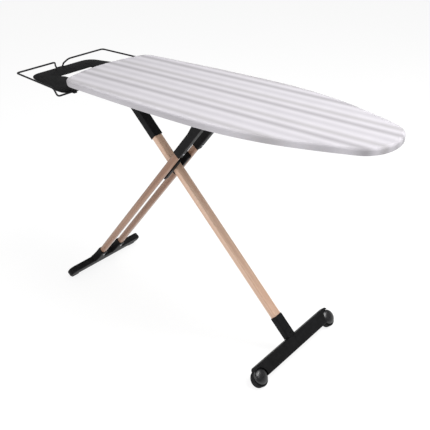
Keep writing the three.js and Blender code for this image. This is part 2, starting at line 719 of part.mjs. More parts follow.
// The lever bracket hangs on the axle, holds the lever's shaft and houses the brake plate.
function makeBrake() {
  const x = HINGE.x;
  const shaftX = x + LEVER.ahead;
  const inner = BRAKE.y - 5;
  const outer = BRAKE.y + 7;
  const plateX = x + 20;
  const profile = roundedPolygon([
    [x - 10, 850, 4], [x + 26, 830, 4], [shaftX + 9, 829, 5], [shaftX + 9, 848, 4],
    [x + 30, 874.8, 3], [x - 10, 874.8, 4]]);
  const bracket = cut(
    across(profile, inner, outer),
    pinAcross(x, HINGE.z, inner - 5, outer + 5, HINGE.pinRadius + GAP),
    pinAcross(shaftX, LEVER.z, inner - 5, outer + 5, LEVER.radius + GAP),
    rod([x - 40, BRAKE.y, BRAKE.z], [x + 60, BRAKE.y, BRAKE.z], BRAKE.radius + 1, 12),
    box([plateX - 4, plateX + 6], [inner - 1, outer + 1], [849.5, 880]));
  add(board, "lever_bracket", bracket, finish(BLACK_STEEL, 0.5, 0.4));
  const plate = cut(
    box([plateX - 1.5, plateX + 1.5], [inner + 0.5, outer - 0.5], [851, 875]),
    rod([plateX - 9, BRAKE.y, BRAKE.z], [plateX + 9, BRAKE.y, BRAKE.z], BRAKE.radius + 0.25, 12));
  add(board, "brake_plate", plate, finish(GREY_STEEL, 0.35, 0.9));
}

// A shaft under the far rail turns a short cam at one end and a hand grip at the other.
function makeLever() {
  const shaftX = HINGE.x + LEVER.ahead;
  const shaft = pinAcross(shaftX, LEVER.z, LEVER.inner, LEVER.outer, LEVER.radius, 12);
  const pocket = pinAcross(shaftX, LEVER.z, LEVER.outer - 40, LEVER.outer + 1, LEVER.radius + GAP, 12);
  add(board, "release_lever", shaft, finish(BLACK_STEEL, 0.4, 0.6));
  const profile = roundedPolygon([
    [shaftX - 9, LEVER.z - 8, 5], [shaftX + 52, LEVER.z - 13, 4],
    [shaftX + 54, LEVER.z - 2, 4], [shaftX - 4, LEVER.z + 8, 6]]);
  const grip = cut(
    across(profile, LEVER.outer - 39, LEVER.outer + 4, { bevel: 2, curveSegments: 3 }), pocket);
  add(board, "lever_grip", grip, finish(BLACK_ABS, 0.45));
}

// A torsion spring on the shaft brings the lever back.
function makeLeverSpring() {
  const turns = 4;
  const perTurn = 10;
  const [from, pitch, radius] = [37, 2.6, LEVER.radius + 1.9];
  const points = [];
  for (let i = 0; i <= turns * perTurn; i++) {
    const a = (i / perTurn) * 2 * Math.PI;
    points.push(new THREE.Vector3(
      HINGE.x + LEVER.ahead + radius * Math.cos(a), from + (pitch * i) / perTurn,
      LEVER.z + radius * Math.sin(a)));
  }
  const coil = wireAlong(new Route(points), points.length - 1, 0.8);
  add(board, "lever_spring", coil, finish(GREY_STEEL, 0.35, 0.9));
}

// ---- fasteners ---------------------------------------------------------------------

// One round-headed screw through each sleeve or socket into its wood.
function makeScrews() {
  const steel = finish(GREY_STEEL, 0.35, 0.9);
  const head = (x, y, z, up) => rod([x, y, z], [x, y, z + up * SCREW.height], SCREW.radius, 10);
  const backA = -SLEEVE_A.thick / 2 - GAP;
  add(legA, "screw_a_upper", head(-LEG_A.upper - SCREW.inset, 0, backA, -1), steel);
  add(legA, "screw_a_lower", head(LEG_A.lower + SCREW.inset, 0, backA, -1), steel);
  for (const [side, sign] of SIDES) {
    const y = sign * LEG_B.y;
    const upper = head(-LEG_B.upper - SCREW.inset, y, SLEEVE_B.thick / 2 + GAP, 1);
    const lower = head(LEG_B.lower + SCREW.inset, y, SOCKET_B.thick / 2 + GAP, 1);
    add(legB, `screw_b_upper_${side}`, upper, steel);
    add(legB, `screw_b_lower_${side}`, lower, steel);
  }
}

makeCover();
makePad();
makeSteamPanel();
makeRim();
makeBraces();
makeRails();
makeLegHinge();
makeBrakeRod();
makeIronRest();
makeRestArms();
makeWireRack();
makeWireClips();
makeLegAWood();
makeLegAUpperSleeve();
makeLegALowerSleeve();
makeFrontFoot();
makeWheelsAndPads();
makePoles();
makeLegBUpperSleeves();
makeSaddles();
makeRearFoot();
makeRearPads();
makeCarriage();
makeBrake();
makeLever();
makeLeverSpring();
makeScrews();

board.position.x = -FOOTPRINT_CENTRE_X;
board.name = "ironing_board";
export default board;
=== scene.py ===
import json
import math

import bmesh
import bpy
from bpy.props import FloatProperty, FloatVectorProperty, IntProperty, PointerProperty
from bpy.types import Operator, Panel, PropertyGroup
from mathutils import Matrix, Vector, noise
from mathutils.geometry import delaunay_2d_cdt


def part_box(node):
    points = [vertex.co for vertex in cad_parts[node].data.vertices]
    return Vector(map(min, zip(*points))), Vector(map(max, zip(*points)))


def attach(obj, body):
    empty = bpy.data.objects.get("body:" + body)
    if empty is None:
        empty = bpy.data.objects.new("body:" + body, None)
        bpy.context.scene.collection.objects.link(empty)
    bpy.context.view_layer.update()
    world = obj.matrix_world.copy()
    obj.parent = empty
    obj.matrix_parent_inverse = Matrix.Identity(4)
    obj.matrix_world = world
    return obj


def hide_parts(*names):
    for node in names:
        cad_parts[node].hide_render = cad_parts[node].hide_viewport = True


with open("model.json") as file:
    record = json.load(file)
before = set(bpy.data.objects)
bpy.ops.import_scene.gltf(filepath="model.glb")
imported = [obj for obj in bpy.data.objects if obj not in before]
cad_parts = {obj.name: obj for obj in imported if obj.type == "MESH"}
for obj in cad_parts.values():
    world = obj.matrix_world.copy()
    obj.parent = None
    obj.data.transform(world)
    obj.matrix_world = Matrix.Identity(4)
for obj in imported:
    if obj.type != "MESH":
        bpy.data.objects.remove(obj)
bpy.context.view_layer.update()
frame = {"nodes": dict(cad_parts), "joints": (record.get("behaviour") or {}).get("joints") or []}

bl_info = {
    "name": "Ironing Board Looks",
    "version": (1, 0, 0),
    "blender": (4, 5, 0),
    "location": "3D View > Sidebar > Ironing board",
    "description": "Cloth, timber, steel and moulded parts of a folding ironing board",
    "category": "Add Mesh",
}

# ---- the frame's own places -------------------------------------------------------------
# Lengths below are millimetres. The board is drawn about the point where the legs cross,
# and each leg in its own frame: +x down the leg from the crossing, +y as the board's.

MM = 0.001
JOINTS = {joint["name"]: joint for joint in frame["joints"]}
CROSSING = Vector(JOINTS["crossing"]["pos_m"])
FOLD = Vector(JOINTS["fold"]["pos_m"])
TO_METRES = Matrix.Scale(MM, 4)
BOARD_FRAME = Matrix.Translation((CROSSING.x, 0, 0))


def leg_frame(turn):
    return Matrix.Translation(CROSSING) @ Matrix.Rotation(math.radians(turn), 4, "Y")


LEG_A = leg_frame(45)
LEG_B = leg_frame(180 - 50.8)
SIDES = (("near", -1), ("far", 1))


def node_box(node):
    """A CAD node's lowest and highest corners, in millimetres, in the board's frame."""
    back = BOARD_FRAME.inverted()
    return tuple((back @ corner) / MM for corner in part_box(node))


COVER_LOW, COVER_HIGH = node_box("cover")
PAD_LOW, PAD_HIGH = node_box("felt_pad")
PANEL_LOW, PANEL_HIGH = node_box("steam_panel")
REST_LOW, REST_HIGH = node_box("iron_rest")
_, RACK_HIGH = node_box("wire_rack")
RAIL_LOW, RAIL_HIGH = node_box("guide_rail_far")
ARM_LOW, ARM_HIGH = node_box("rest_arm_far")

# ---- colour and shader nodes ------------------------------------------------------------


def srgb(text):
    """A six-digit sRGB hex colour as linear red, green, blue and alpha."""
    parts = [int(text[i:i + 2], 16) / 255 for i in (0, 2, 4)]
    return (*(p / 12.92 if p <= 0.04045 else ((p + 0.055) / 1.055) ** 2.4 for p in parts), 1.0)


def per_mm(size):
    """The texture scale, in metres of object space, of a pattern this many mm across."""
    return 1 / (size * MM)


def add_node(tree, kind, inputs=None, **settings):
    """Adds a node; an input is either a value or the socket that feeds it."""
    node = tree.nodes.new(kind)
    for key, value in settings.items():
        setattr(node, key, value)
    for key, value in (inputs or {}).items():
        if isinstance(value, bpy.types.NodeSocket):
            tree.links.new(value, node.inputs[key])
        else:
            node.inputs[key].default_value = value
    return node


def set_stops(ramp, stops, smooth="LINEAR"):
    """Gives a colour ramp its stops, as pairs of place and colour."""
    band = ramp.color_ramp
    band.interpolation = smooth
    while len(band.elements) < len(stops):
        band.elements.new(0.5)
    for element, (place, colour) in zip(band.elements, stops):
        element.position = place
        element.color = colour
    return ramp.outputs["Color"]


def grey(level):
    return (level, level, level, 1.0)


def shade(colour, factor):
    """A linear colour made darker or lighter."""
    return (*(factor * c for c in colour[:3]), 1.0)


def show(name, data):
    """Puts a mesh, light or camera in the scene as an object."""
    made = bpy.data.objects.new(name, data)
    bpy.context.scene.collection.objects.link(made)
    return made


class Finish:
    """A material being made: its shader, and the coordinates its patterns use."""

    def __init__(self, name, colour, roughness, **shader):
        colour = tuple(colour)
        self.material = bpy.data.materials.new(name)
        self.material.use_nodes = True
        self.tree = self.material.node_tree
        self.shader = self.tree.nodes["Principled BSDF"]
        self.place = self.add("ShaderNodeTexCoord").outputs["Object"]
        for key, value in {"Base Color": colour, "Roughness": roughness, **shader}.items():
            self.shader.inputs[key.replace("_", " ")].default_value = value
        self.material.diffuse_color = colour

    def add(self, kind, inputs=None, **settings):
        return add_node(self.tree, kind, inputs, **settings)

    def work(self, operation, *terms):
        """The result of a sum on numbers or sockets."""
        return self.add("ShaderNodeMath", dict(enumerate(terms)),
                        operation=operation).outputs[0]

    def feed(self, socket, source):
        self.tree.links.new(source, self.shader.inputs[socket])

    def stretched(self, scale):
        """Object coordinates scaled on each axis, for patterns longer one way."""
        return self.add("ShaderNodeMapping", {"Vector": self.place, "Scale": scale}).outputs[0]

    def speckle(self, size, detail=2.0, rough=0.5, place=None):
        """A noise of this grain size in millimetres."""
        return self.add("ShaderNodeTexNoise", {
            "Vector": place or self.place, "Scale": per_mm(size) if place is None else 1.0,
            "Detail": detail, "Roughness": rough}).outputs["Fac"]

    def tint(self, fac, dark, light, low=0.3, high=0.7):
        """Colour that runs from dark to light as the pattern does."""
        ramp = self.add("ShaderNodeValToRGB", {"Fac": fac})
        return set_stops(ramp, [(low, dark), (high, light)])

    def cells(self, size, channel=0):
        """A random level for each crystal of this size in millimetres."""
        cell = self.add("ShaderNodeTexVoronoi", {"Vector": self.place, "Scale": per_mm(size)})
        levels = self.add("ShaderNodeSeparateColor", {"Color": cell.outputs["Color"]})
        return levels.outputs[channel]

    def mix(self, factor, under, over, blend="MIX"):
        """One colour blended over another; the factor is held between 0 and 1."""
        return self.add("ShaderNodeMix", {"Factor": factor, 6: under, 7: over},
                        data_type="RGBA", blend_type=blend, clamp_factor=True).outputs[2]

    def span(self, fac, low, high):
        """A number that runs from low to high over the pattern."""
        return self.add("ShaderNodeMapRange", {
            "Value": fac, "From Min": 0.3, "From Max": 0.7, "To Min": low, "To Max": high,
        }).outputs["Result"]

    def mottle(self, fac, darkest, lightest, low=0.3, high=0.7):
        """Feeds the material's colour, darker and lighter by these factors over a pattern."""
        dark, light = (shade(self.material.diffuse_color, k) for k in (darkest, lightest))
        self.feed("Base Color", self.tint(fac, dark, light, low, high))

    def relief(self, height, depth, strength=1.0, under=None):
        """Bump of this depth in millimetres."""
        inputs = {"Height": height, "Distance": depth * MM, "Strength": strength}
        if under is not None:
            inputs["Normal"] = under
        return self.add("ShaderNodeBump", inputs).outputs["Normal"]


# ---- the settings a user would change ---------------------------------------------------


def length(name, description, default, low=0.0):
    return FloatProperty(name=name, description=description, default=default * MM, min=low,
                         subtype="DISTANCE", unit="LENGTH")


def colour(name, description, text):
    return FloatVectorProperty(name=name, description=description, default=srgb(text),
                               size=4, min=0, max=1, subtype="COLOR")


class ClothSettings(PropertyGroup):
    ground: colour("Ground", "Colour of the woven ground", "BCB9BE")
    strong: colour("Strong stripe", "Colour of the darkest stripe", "9B989C")
    medium: colour("Medium stripe", "Colour of the middle stripe", "A5A2A5")
    faint: colour("Faint stripe", "Colour of the palest stripe", "AFACB1")
    repeat: length("Repeat", "Width over which the three stripes repeat", 139)
    first: length("First stripe", "Where a dark stripe lies, across from the middle", 34.5)
    thread: length("Thread", "Spacing of the threads as drawn", 1.4)
    thickness: length("Thickness", "Thickness of the cloth", 0.9)
    edge: length("Edge", "Radius at which the cover turns over the pad", 8)


class TimberSettings(PropertyGroup):
    light: colour("Light", "Colour of the single leg's early wood", "DEBCA4")
    dark: colour("Dark", "Colour of the single leg's late wood", "CDA58B")
    # the poles' two tones are painted darker than the single leg's, as painted shade from the
    # board above
    shaded_pole_light: colour("Pole light", "Colour of the poles' early wood", "A3806A")
    shaded_pole_dark: colour("Pole dark", "Colour of the poles' late wood", "8E6954")
    gloss: FloatProperty(name="Lacquer", description="Strength of the clear lacquer",
                         default=0.25, min=0, max=1, subtype="FACTOR")


class MetalSettings(PropertyGroup):
    coat: colour("Powder coat", "Colour of the coated steel", "2B2B2E")
    zinc: colour("Zinc", "Colour of the plated steel", "B4B6BA")
    strand: length("Strand", "Width of the expanded panel's strands", 1.7)
    cell_long: length("Cell length", "Long way of the panel's diamonds", 26)
    cell_short: length("Cell width", "Short way of the panel's diamonds", 13)


class MouldedSettings(PropertyGroup):
    body: colour("Mouldings", "Colour of the black mouldings", "171718")
    wheel: colour("Wheels", "Colour of the wheels", "161618")
    rubber: colour("Rubber", "Colour of the floor pads", "1E1E1F")
    sides: IntProperty(name="Smoothness", description="Facets round a turned part",
                       default=56, min=16, max=96)


class StageSettings(PropertyGroup):
    floor: colour("Floor", "Colour of the floor", "808080")
    glow: FloatProperty(name="Glow", description="Brightness of the light table",
                        default=0.86, min=0)
    key: FloatProperty(name="Key light", description="Power of the main softbox",
                       default=150, min=0, unit="POWER")
    fill: FloatProperty(name="Fill light", description="Power of the softbox on the near side",
                        default=30, min=0, unit="POWER")
    sky: FloatProperty(name="Surround", description="Brightness of the surround overhead",
                       default=0.27, min=0)
    horizon: FloatProperty(name="Horizon", description="Brightness where it meets the floor",
                           default=0.9, min=0)


SETTINGS = {
    "board_cloth": ClothSettings, "board_timber": TimberSettings, "board_metal": MetalSettings,
    "board_moulded": MouldedSettings, "board_stage": StageSettings,
}


def settings(name):
    return getattr(bpy.context.scene, name)


# ---- materials --------------------------------------------------------------------------


def woven_cotton():
    """Printed cotton canvas: matt, with a plain weave and a soft bloom of loose fibre."""
    s = settings("board_cloth")
    f = Finish("cotton_canvas_woven_and_printed", s.ground, 0.92, Sheen_Weight=0.12,
               Sheen_Roughness=0.6, Specular_IOR_Level=0.3)
    axes = f.add("ShaderNodeSeparateXYZ", {"Vector": f.place})
    # the three stripes lie a third of the repeat apart and fade out on both sides
    shift = f.work("SUBTRACT", axes.outputs["Y"], s.first - s.repeat / 6)
    phase = f.work("FRACT", f.work("DIVIDE", shift, s.repeat))
    ground, strong, medium, faint = (tuple(c) for c in (s.ground, s.strong, s.medium, s.faint))
    bands = set_stops(f.add("ShaderNodeValToRGB", {"Fac": phase}), [
        (0.0, ground), (0.165, strong), (0.33, ground), (0.49, medium), (0.66, ground),
        (0.84, faint), (1.0, ground)], "EASE")
    # slubs: threads of uneven thickness, longer along the cloth than across it
    slub = f.speckle(0, 3, 0.6, f.stretched((per_mm(30), per_mm(2.2), per_mm(6))))
    soil = f.speckle(90, 2, 0.5)
    slubs = f.mix(0.07, bands, f.tint(slub, grey(0.45), grey(0.85)), "OVERLAY")
    f.feed("Base Color", f.mix(0.05, slubs, f.tint(soil, grey(0.35), grey(0.75)), "OVERLAY"))
    # real threads are half a millimetre apart; they are drawn coarser so that they show
    warp, weft = (f.work("SINE", f.work("MULTIPLY", axes.outputs[a], math.tau / s.thread))
                  for a in ("X", "Y"))
    weave = f.work("MULTIPLY", warp, weft)
    fibre = f.relief(f.speckle(0.9, 2, 0.6), 0.10, 0.5)
    f.feed("Normal", f.relief(weave, 0.05, 0.6, fibre))
    return f.material


def needled_felt():
    """Needle-punched felt: very matt, with a mottle of fibres lying every way."""
    f = Finish("polyester_felt_needled", srgb("C8C5BE"), 0.97, Sheen_Weight=0.2)
    fibre = f.speckle(1.6, 4, 0.7)
    f.mottle(fibre, 0.8, 1.22)
    f.feed("Normal", f.relief(fibre, 0.35, 0.8))
    return f.material


def powder_coat():
    """Black powder coat on pressed steel: satin, with the coat's slight orange peel."""
    f = Finish("steel_powder_coated_black", settings("board_metal").coat, 0.42, IOR=1.5,
               Specular_IOR_Level=0.3)
    f.mottle(f.speckle(22, 3), 0.69, 1.27)
    f.feed("Roughness", f.span(f.speckle(9, 3), 0.36, 0.5))
    f.feed("Normal", f.relief(f.speckle(1.3, 1.5, 0.4), 0.05, 0.5))
    return f.material


def zinc_plate():
    """Bright zinc plating: a clear metal sheen broken by fine crystals and faint clouding."""
    f = Finish("steel_zinc_plated", settings("board_metal").zinc, 0.34, Metallic=1.0)
    crystal = f.cells(2.6)
    f.mottle(crystal, 0.81, 1.14, 0.1, 0.9)
    f.feed("Roughness", f.span(f.speckle(7, 3), 0.26, 0.42))
    f.feed("Normal", f.relief(crystal, 0.01, 0.3))
    return f.material


def drawn_steel():
    """Drawn steel rod: a metal gloss with fine lines along the rod from the die."""
    f = Finish("steel_drawn_bright", srgb("BEC0C2"), 0.24, Metallic=1.0)
    lines = f.speckle(0, 2, 0.6, f.stretched((per_mm(60), per_mm(0.5), per_mm(0.5))))
    f.mottle(lines, 0.83, 1.18)
    f.feed("Roughness", f.span(lines, 0.18, 0.34))
    return f.material


def expanded_steel():
    """Galvanised expanded sheet: dull grey metal with the coarse spangle of hot zinc."""
    f = Finish("steel_expanded_galvanised", srgb("989A9E"), 0.48, Metallic=0.9)
    f.mottle(f.cells(9, 1), 0.75, 1.25, 0.1, 0.9)
    f.feed("Roughness", f.span(f.speckle(5, 3), 0.4, 0.58))
    return f.material


def dipped_wire():
    """Steel wire dipped in black plastic: smooth and softly glossy, a little uneven."""
    f = Finish("wire_plastic_dipped_black", srgb("19191B"), 0.34, IOR=1.5,
               Specular_IOR_Level=0.15)
    f.mottle(f.speckle(14, 2), 0.67, 1.4)
    f.feed("Roughness", f.span(f.speckle(5, 2), 0.26, 0.4))
    f.feed("Normal", f.relief(f.speckle(4, 1), 0.08, 0.4))
    return f.material


def textured_tray():
    """Heat-proof textured enamel on pressed steel: matt black with a fine sandy grain."""
    f = Finish("steel_enamelled_matt_black", srgb("141415"), 0.62, IOR=1.5,
               Specular_IOR_Level=0.07)
    grain = f.speckle(0.9, 2, 0.6)
    f.mottle(f.speckle(30, 3), 0.74, 1.3)
    f.feed("Roughness", f.span(grain, 0.52, 0.68))
    f.feed("Normal", f.relief(grain, 0.09, 0.6))
    return f.material


def moulded_abs():
    """Injection-moulded ABS with a spark-eroded grain: black, satin, faintly pebbled."""
    f = Finish("abs_moulded_spark_eroded", settings("board_moulded").body, 0.42, IOR=1.53,
               Specular_IOR_Level=0.07)
    f.mottle(f.speckle(26, 3), 0.76, 1.28)
    f.feed("Roughness", f.span(f.speckle(6, 3), 0.4, 0.54))
    f.feed("Normal", f.relief(f.speckle(0.8, 2, 0.5), 0.05, 0.6))
    return f.material


def polished_wheel():
    """Polished acetal: deep black with a soft highlight over its dome."""
    f = Finish("acetal_moulded_polished", settings("board_moulded").wheel, 0.3, IOR=1.48,
               Coat_Weight=0.25, Coat_Roughness=0.22)
    marks = f.speckle(6, 2, 0.5)
    f.mottle(marks, 0.65, 1.14)
    f.feed("Roughness", f.span(marks, 0.27, 0.33))
    return f.material


def floor_rubber():
    """Moulded rubber: dull, with a dry bloom that lightens it in patches."""
    f = Finish("rubber_moulded_dull", settings("board_moulded").rubber, 0.72, IOR=1.52,
               Specular_IOR_Level=0.08)
    f.mottle(f.speckle(12, 4), 0.62, 1.22)
    f.feed("Roughness", f.span(f.speckle(5, 3), 0.62, 0.82))
    f.feed("Normal", f.relief(f.speckle(0.7, 2), 0.06, 0.6))
    return f.material


def pale_nylon():
    """Natural nylon: waxy off-white that lets a little light into its surface."""
    f = Finish("nylon_moulded_natural", srgb("D8D4CA"), 0.45, IOR=1.53,
               Subsurface_Weight=0.1, Subsurface_Radius=(0.003,) * 3)
    f.mottle(f.speckle(8, 2), 0.91, 1.09)
    f.feed("Roughness", f.span(f.speckle(3, 2), 0.4, 0.55))
    return f.material


def lacquered_beech():
    """Planed beech under clear lacquer: straight grain, soft rings and many short flecks."""
    s = settings("board_timber")
    return beech("beech_planed_and_lacquered", s.light, s.dark)


def beech_darkened_for_shade():
    """Beech under the same lacquer, darker and browner: painted shade on the twin poles, which lie
    under the board.
    """
    s = settings("board_timber")
    return beech("beech_lacquered_darkened_for_shade", s.shaded_pole_light, s.shaded_pole_dark)


def beech(name, light, dark):
    """Beech of two tones, with its grain along the piece's own x."""
    f = Finish(name, light, 0.42, Coat_Weight=settings("board_timber").gloss,
               Coat_Roughness=0.3)
    rings = f.speckle(0, 3, 0.55, f.stretched((per_mm(420), per_mm(5), per_mm(7))))
    broad = f.speckle(0, 2, 0.5, f.stretched((per_mm(300), per_mm(22), per_mm(30))))
    fleck = f.speckle(0, 1, 0.4, f.stretched((per_mm(3.4), per_mm(0.55), per_mm(0.55))))
    wood = f.tint(rings, tuple(dark), tuple(light), 0.34, 0.62)
    tone = f.mix(0.2, wood, f.tint(broad, grey(0.3), grey(0.75)), "SOFT_LIGHT")
    f.feed("Base Color", f.mix(f.span(fleck, -1.0, 0.4), tone, shade(dark, 0.55)))
    f.feed("Roughness", f.span(rings, 0.48, 0.36))
    f.feed("Normal", f.relief(rings, 0.04, 0.35))
    return f.material


def floor_paint():
    """A plain pale light table: its own glow leaves only the faintest shadows."""
    s = settings("board_stage")
    f = Finish("studio_floor_lit_white", s.floor, 0.9, Specular_IOR_Level=0.0,
               Emission_Color=srgb("FFFFFF"), Emission_Strength=s.glow)
    return f.material


MADE = {}


def finish(maker):
    """A finish is made once and shared by every piece that has it."""
    if maker not in MADE:
        MADE[maker] = maker()
    return MADE[maker]


# ---- outlines ---------------------------------------------------------------------------


def points_of(pairs):
    """Pairs of numbers as points."""
    return [Vector(p) for p in pairs]


def curve(start, corner, end, steps):
    """Points along a bend that leaves start towards the corner and comes in to end."""
    return [(1 - t) ** 2 * start + 2 * t * (1 - t) * corner + t * t * end
            for t in (k / steps for k in range(steps + 1))]


def rounded(corners, steps=7):
    """A closed outline with rounded corners, each given as x, y and how far it reaches."""
    loop, count = [], len(corners)
    for i, (x, y, reach) in enumerate(corners):
        corner = Vector((x, y))
        if reach <= 0:
            loop.append(corner)
            continue
        start = corner + (Vector(corners[i - 1][:2]) - corner).normalized() * reach
        end = corner + (Vector(corners[(i + 1) % count][:2]) - corner).normalized() * reach
        loop += curve(start, corner, end, steps)
    return tidy_loop(loop)


def tidy_loop(loop):
    """Drops doubled points and turns the outline counter-clockwise."""
    kept = [p for i, p in enumerate(loop) if (p - loop[i - 1]).length > 0.02]
    area = sum(a.x * b.y - b.x * a.y for a, b in zip(kept, kept[1:] + kept[:1]))
    return kept if area > 0 else kept[::-1]


def arc(centre, radius, start, end, steps=14):
    """Points round a centre from one angle to another, in radians."""
    turns = [start + (end - start) * k / steps for k in range(steps + 1)]
    return [Vector((centre[0] + radius * math.cos(a), centre[1] + radius * math.sin(a)))
            for a in turns]


def rounded_rect(width, height, reach, steps=7):
    """A rectangle about the origin with corners rounded to a radius."""
    x, y, r = width / 2, height / 2, reach
    loop = []
    for i, (cx, cy) in enumerate(((x - r, y - r), (r - x, y - r), (r - x, r - y), (x - r, r - y))):
        loop += arc((cx, cy), r, i * math.pi / 2, (i + 1) * math.pi / 2, steps)
    return tidy_loop(loop)


def offset(loop, distance):
    """Moves a closed outline inward, or a clockwise one outward, by a distance."""
    moved = []
    for i, here in enumerate(loop):
        run_in = (here - loop[i - 1]).normalized()
        run_out = (loop[(i + 1) % len(loop)] - here).normalized()
        a, b = Vector((-run_in.y, run_in.x)), Vector((-run_out.y, run_out.x))
        moved.append(here + (a + b) * distance / max(0.3, 1 + a.dot(b)))
    return moved


def cubic(controls, steps):
    """Points along a cubic curve, without its last."""
    a, b, c, d = points_of(controls)
    for k in range(steps):
        t = k / steps
        u = 1 - t
        yield u ** 3 * a + 3 * u * u * t * b + 3 * u * t * t * c + t ** 3 * d


def board_outline(spacing=6.0):
    """The board's plan, from the tail's middle round the near side, evenly spaced."""
    tail, nose = COVER_LOW.x, COVER_HIGH.x
    middle = COVER_HIGH.y
    half = [
        [(tail, 0), (tail, 80), (-352, 120), (-343, 155)],
        [(-343, 155), (-335, 205), (-315, 212), (-262, 212)],
        [(-262, 212), (-100, 223), (80, middle), (240, middle)],
        [(240, middle), (480, middle), (600, 190), (780, 118)],
        [(780, 118), (822, 101), (nose, 60), (nose, 0)],
    ]
    far = [p for curve in half for p in cubic(curve, 60)] + [Vector((nose, 0))]
    near = [Vector((p.x, -p.y)) for p in far]
    loop = near + far[::-1][1:-1]
    return even(loop, spacing)


def even(loop, spacing):
    """The same closed outline with its points evenly spaced."""
    runs = [(b - a).length for a, b in zip(loop, loop[1:] + loop[:1])]
    count = round(sum(runs) / spacing)
    step, made, at, i = sum(runs) / count, [], 0.0, 0
    for k in range(count):
        while at + runs[i] < k * step:
            at += runs[i]
            i += 1
        a, b = loop[i], loop[(i + 1) % len(loop)]
        made.append(a.lerp(b, (k * step - at) / runs[i]))
    return made


# ---- solids -----------------------------------------------------------------------------

ACROSS = Matrix(((1, 0, 0, 0), (0, 0, 1, 0), (0, 1, 0, 0), (0, 0, 0, 1)))
LENGTHWISE = Matrix(((0, 0, 1, 0), (1, 0, 0, 0), (0, 1, 0, 0), (0, 0, 0, 1)))


def bridge(bm, lower, upper):
    """Faces between two rings of as many points."""
    count = len(lower)
    for i in range(count):
        j = (i + 1) % count
        bm.faces.new((lower[i], lower[j], upper[j], upper[i]))


def plate(outline, low, high, edge=0.0, holes=(), turn=None, steps=4):
    """A flat piece with rounded edges; ACROSS stands it on y and LENGTHWISE on x."""
    quarter = [k / steps * math.pi / 2 for k in range(steps + 1)] if edge else [math.pi / 2]
    under = [(edge * (1 - math.sin(a)), low + edge * (1 - math.cos(a))) for a in quarter]
    over = [(inset, low + high - z) for inset, z in reversed(under)]
    bm = bmesh.new()
    ends = {0: [], -1: []}
    for loop in (outline, *(hole[::-1] for hole in holes)):
        rings = [[bm.verts.new((*p, z)) for p in offset(loop, inset)]
                 for inset, z in under + over]
        for lower, upper in zip(rings, rings[1:]):
            bridge(bm, lower, upper)
        for end in ends:
            ends[end].append(rings[end])
    for loops in ends.values():
        if len(loops) == 1:
            bm.faces.new(loops[0])
        else:
            edges = [bm.edges.get((v, ring[(i + 1) % len(ring)]))
                     for ring in loops for i, v in enumerate(ring)]
            bmesh.ops.triangle_fill(bm, use_beauty=True, use_dissolve=False, edges=edges)
    if turn is not None:
        bm.transform(turn)
    bmesh.ops.recalc_face_normals(bm, faces=bm.faces)
    return bm


def turned(profile, sides=None):
    """A profile of radius and height, turned about z and closed on the axis."""
    sides = sides or settings("board_moulded").sides
    bm = bmesh.new()
    rings = []
    for radius, height in profile:
        if radius < 1e-6:
            rings.append([bm.verts.new((0, 0, height))])
        else:
            rings.append([bm.verts.new((radius * math.cos(2 * math.pi * k / sides),
                                        radius * math.sin(2 * math.pi * k / sides), height))
                          for k in range(sides)])
    for a, b in zip(rings, rings[1:]):
        if len(a) > 1 and len(b) > 1:
            bridge(bm, a, b)
        elif len(a) > 1 or len(b) > 1:
            tip, ring = (a[0], b) if len(a) == 1 else (b[0], a)
            for k in range(sides):
                bm.faces.new((tip, ring[k], ring[(k + 1) % sides]))
    bmesh.ops.recalc_face_normals(bm, faces=bm.faces)
    return bm


def moved(bm, x, y, z=0.0):
    """The shape moved by this much."""
    bm.transform(Matrix.Translation((x, y, z)))
    return bm


def between(start, end):
    """The transform that stands a turned part at start, with its axis towards end."""
    run = Vector(end) - Vector(start)
    return Matrix.Translation(start) @ run.to_track_quat("Z", "Y").to_matrix().to_4x4()


def pin(start, end, radius, chamfer=0.6, sides=40):
    """A round bar from start to end with chamfered ends."""
    tall = (Vector(end) - Vector(start)).length
    bm = turned([(0, 0), (radius - chamfer, 0), (radius, chamfer), (radius, tall - chamfer),
                 (radius - chamfer, tall), (0, tall)], sides)
    bm.transform(between(start, end))
    return bm


def swept(path, radius, sides=16):
    """A round wire along a line of points."""
    bm = bmesh.new()
    rings, side = [], None
    for i, here in enumerate(path):
        ahead = path[min(i + 1, len(path) - 1)] - path[max(i - 1, 0)]
        ahead.normalize()
        if side is None:
            side = ahead.orthogonal().normalized()
        side = (side - ahead * side.dot(ahead)).normalized()
        other = ahead.cross(side)
        rings.append([bm.verts.new(here + (side * math.cos(a) + other * math.sin(a)) * radius)
                      for a in (2 * math.pi * k / sides for k in range(sides))])
    for a, b in zip(rings, rings[1:]):
        bridge(bm, a, b)
    for ring in (rings[0], rings[-1]):
        bm.faces.new(ring)
    bmesh.ops.recalc_face_normals(bm, faces=bm.faces)
    return bm


def bent(corners, bend, steps=8):
    """A line through corners, each bent to a radius."""
    corners = [Vector(c) for c in corners]
    line = [corners[0]]
    for before, here, after in zip(corners, corners[1:], corners[2:]):
        reach = min(bend, (before - here).length / 2.1, (after - here).length / 2.1)
        start = here + (before - here).normalized() * reach
        end = here + (after - here).normalized() * reach
        line += curve(start, here, end, steps)
    return line + [corners[-1]]


def merged(*parts):
    """Several closed solids in one mesh."""
    whole = bmesh.new()
    for part in parts:
        mesh = bpy.data.meshes.new("part")
        part.to_mesh(mesh)
        part.free()
        whole.from_mesh(mesh)
        bpy.data.meshes.remove(mesh)
    return whole


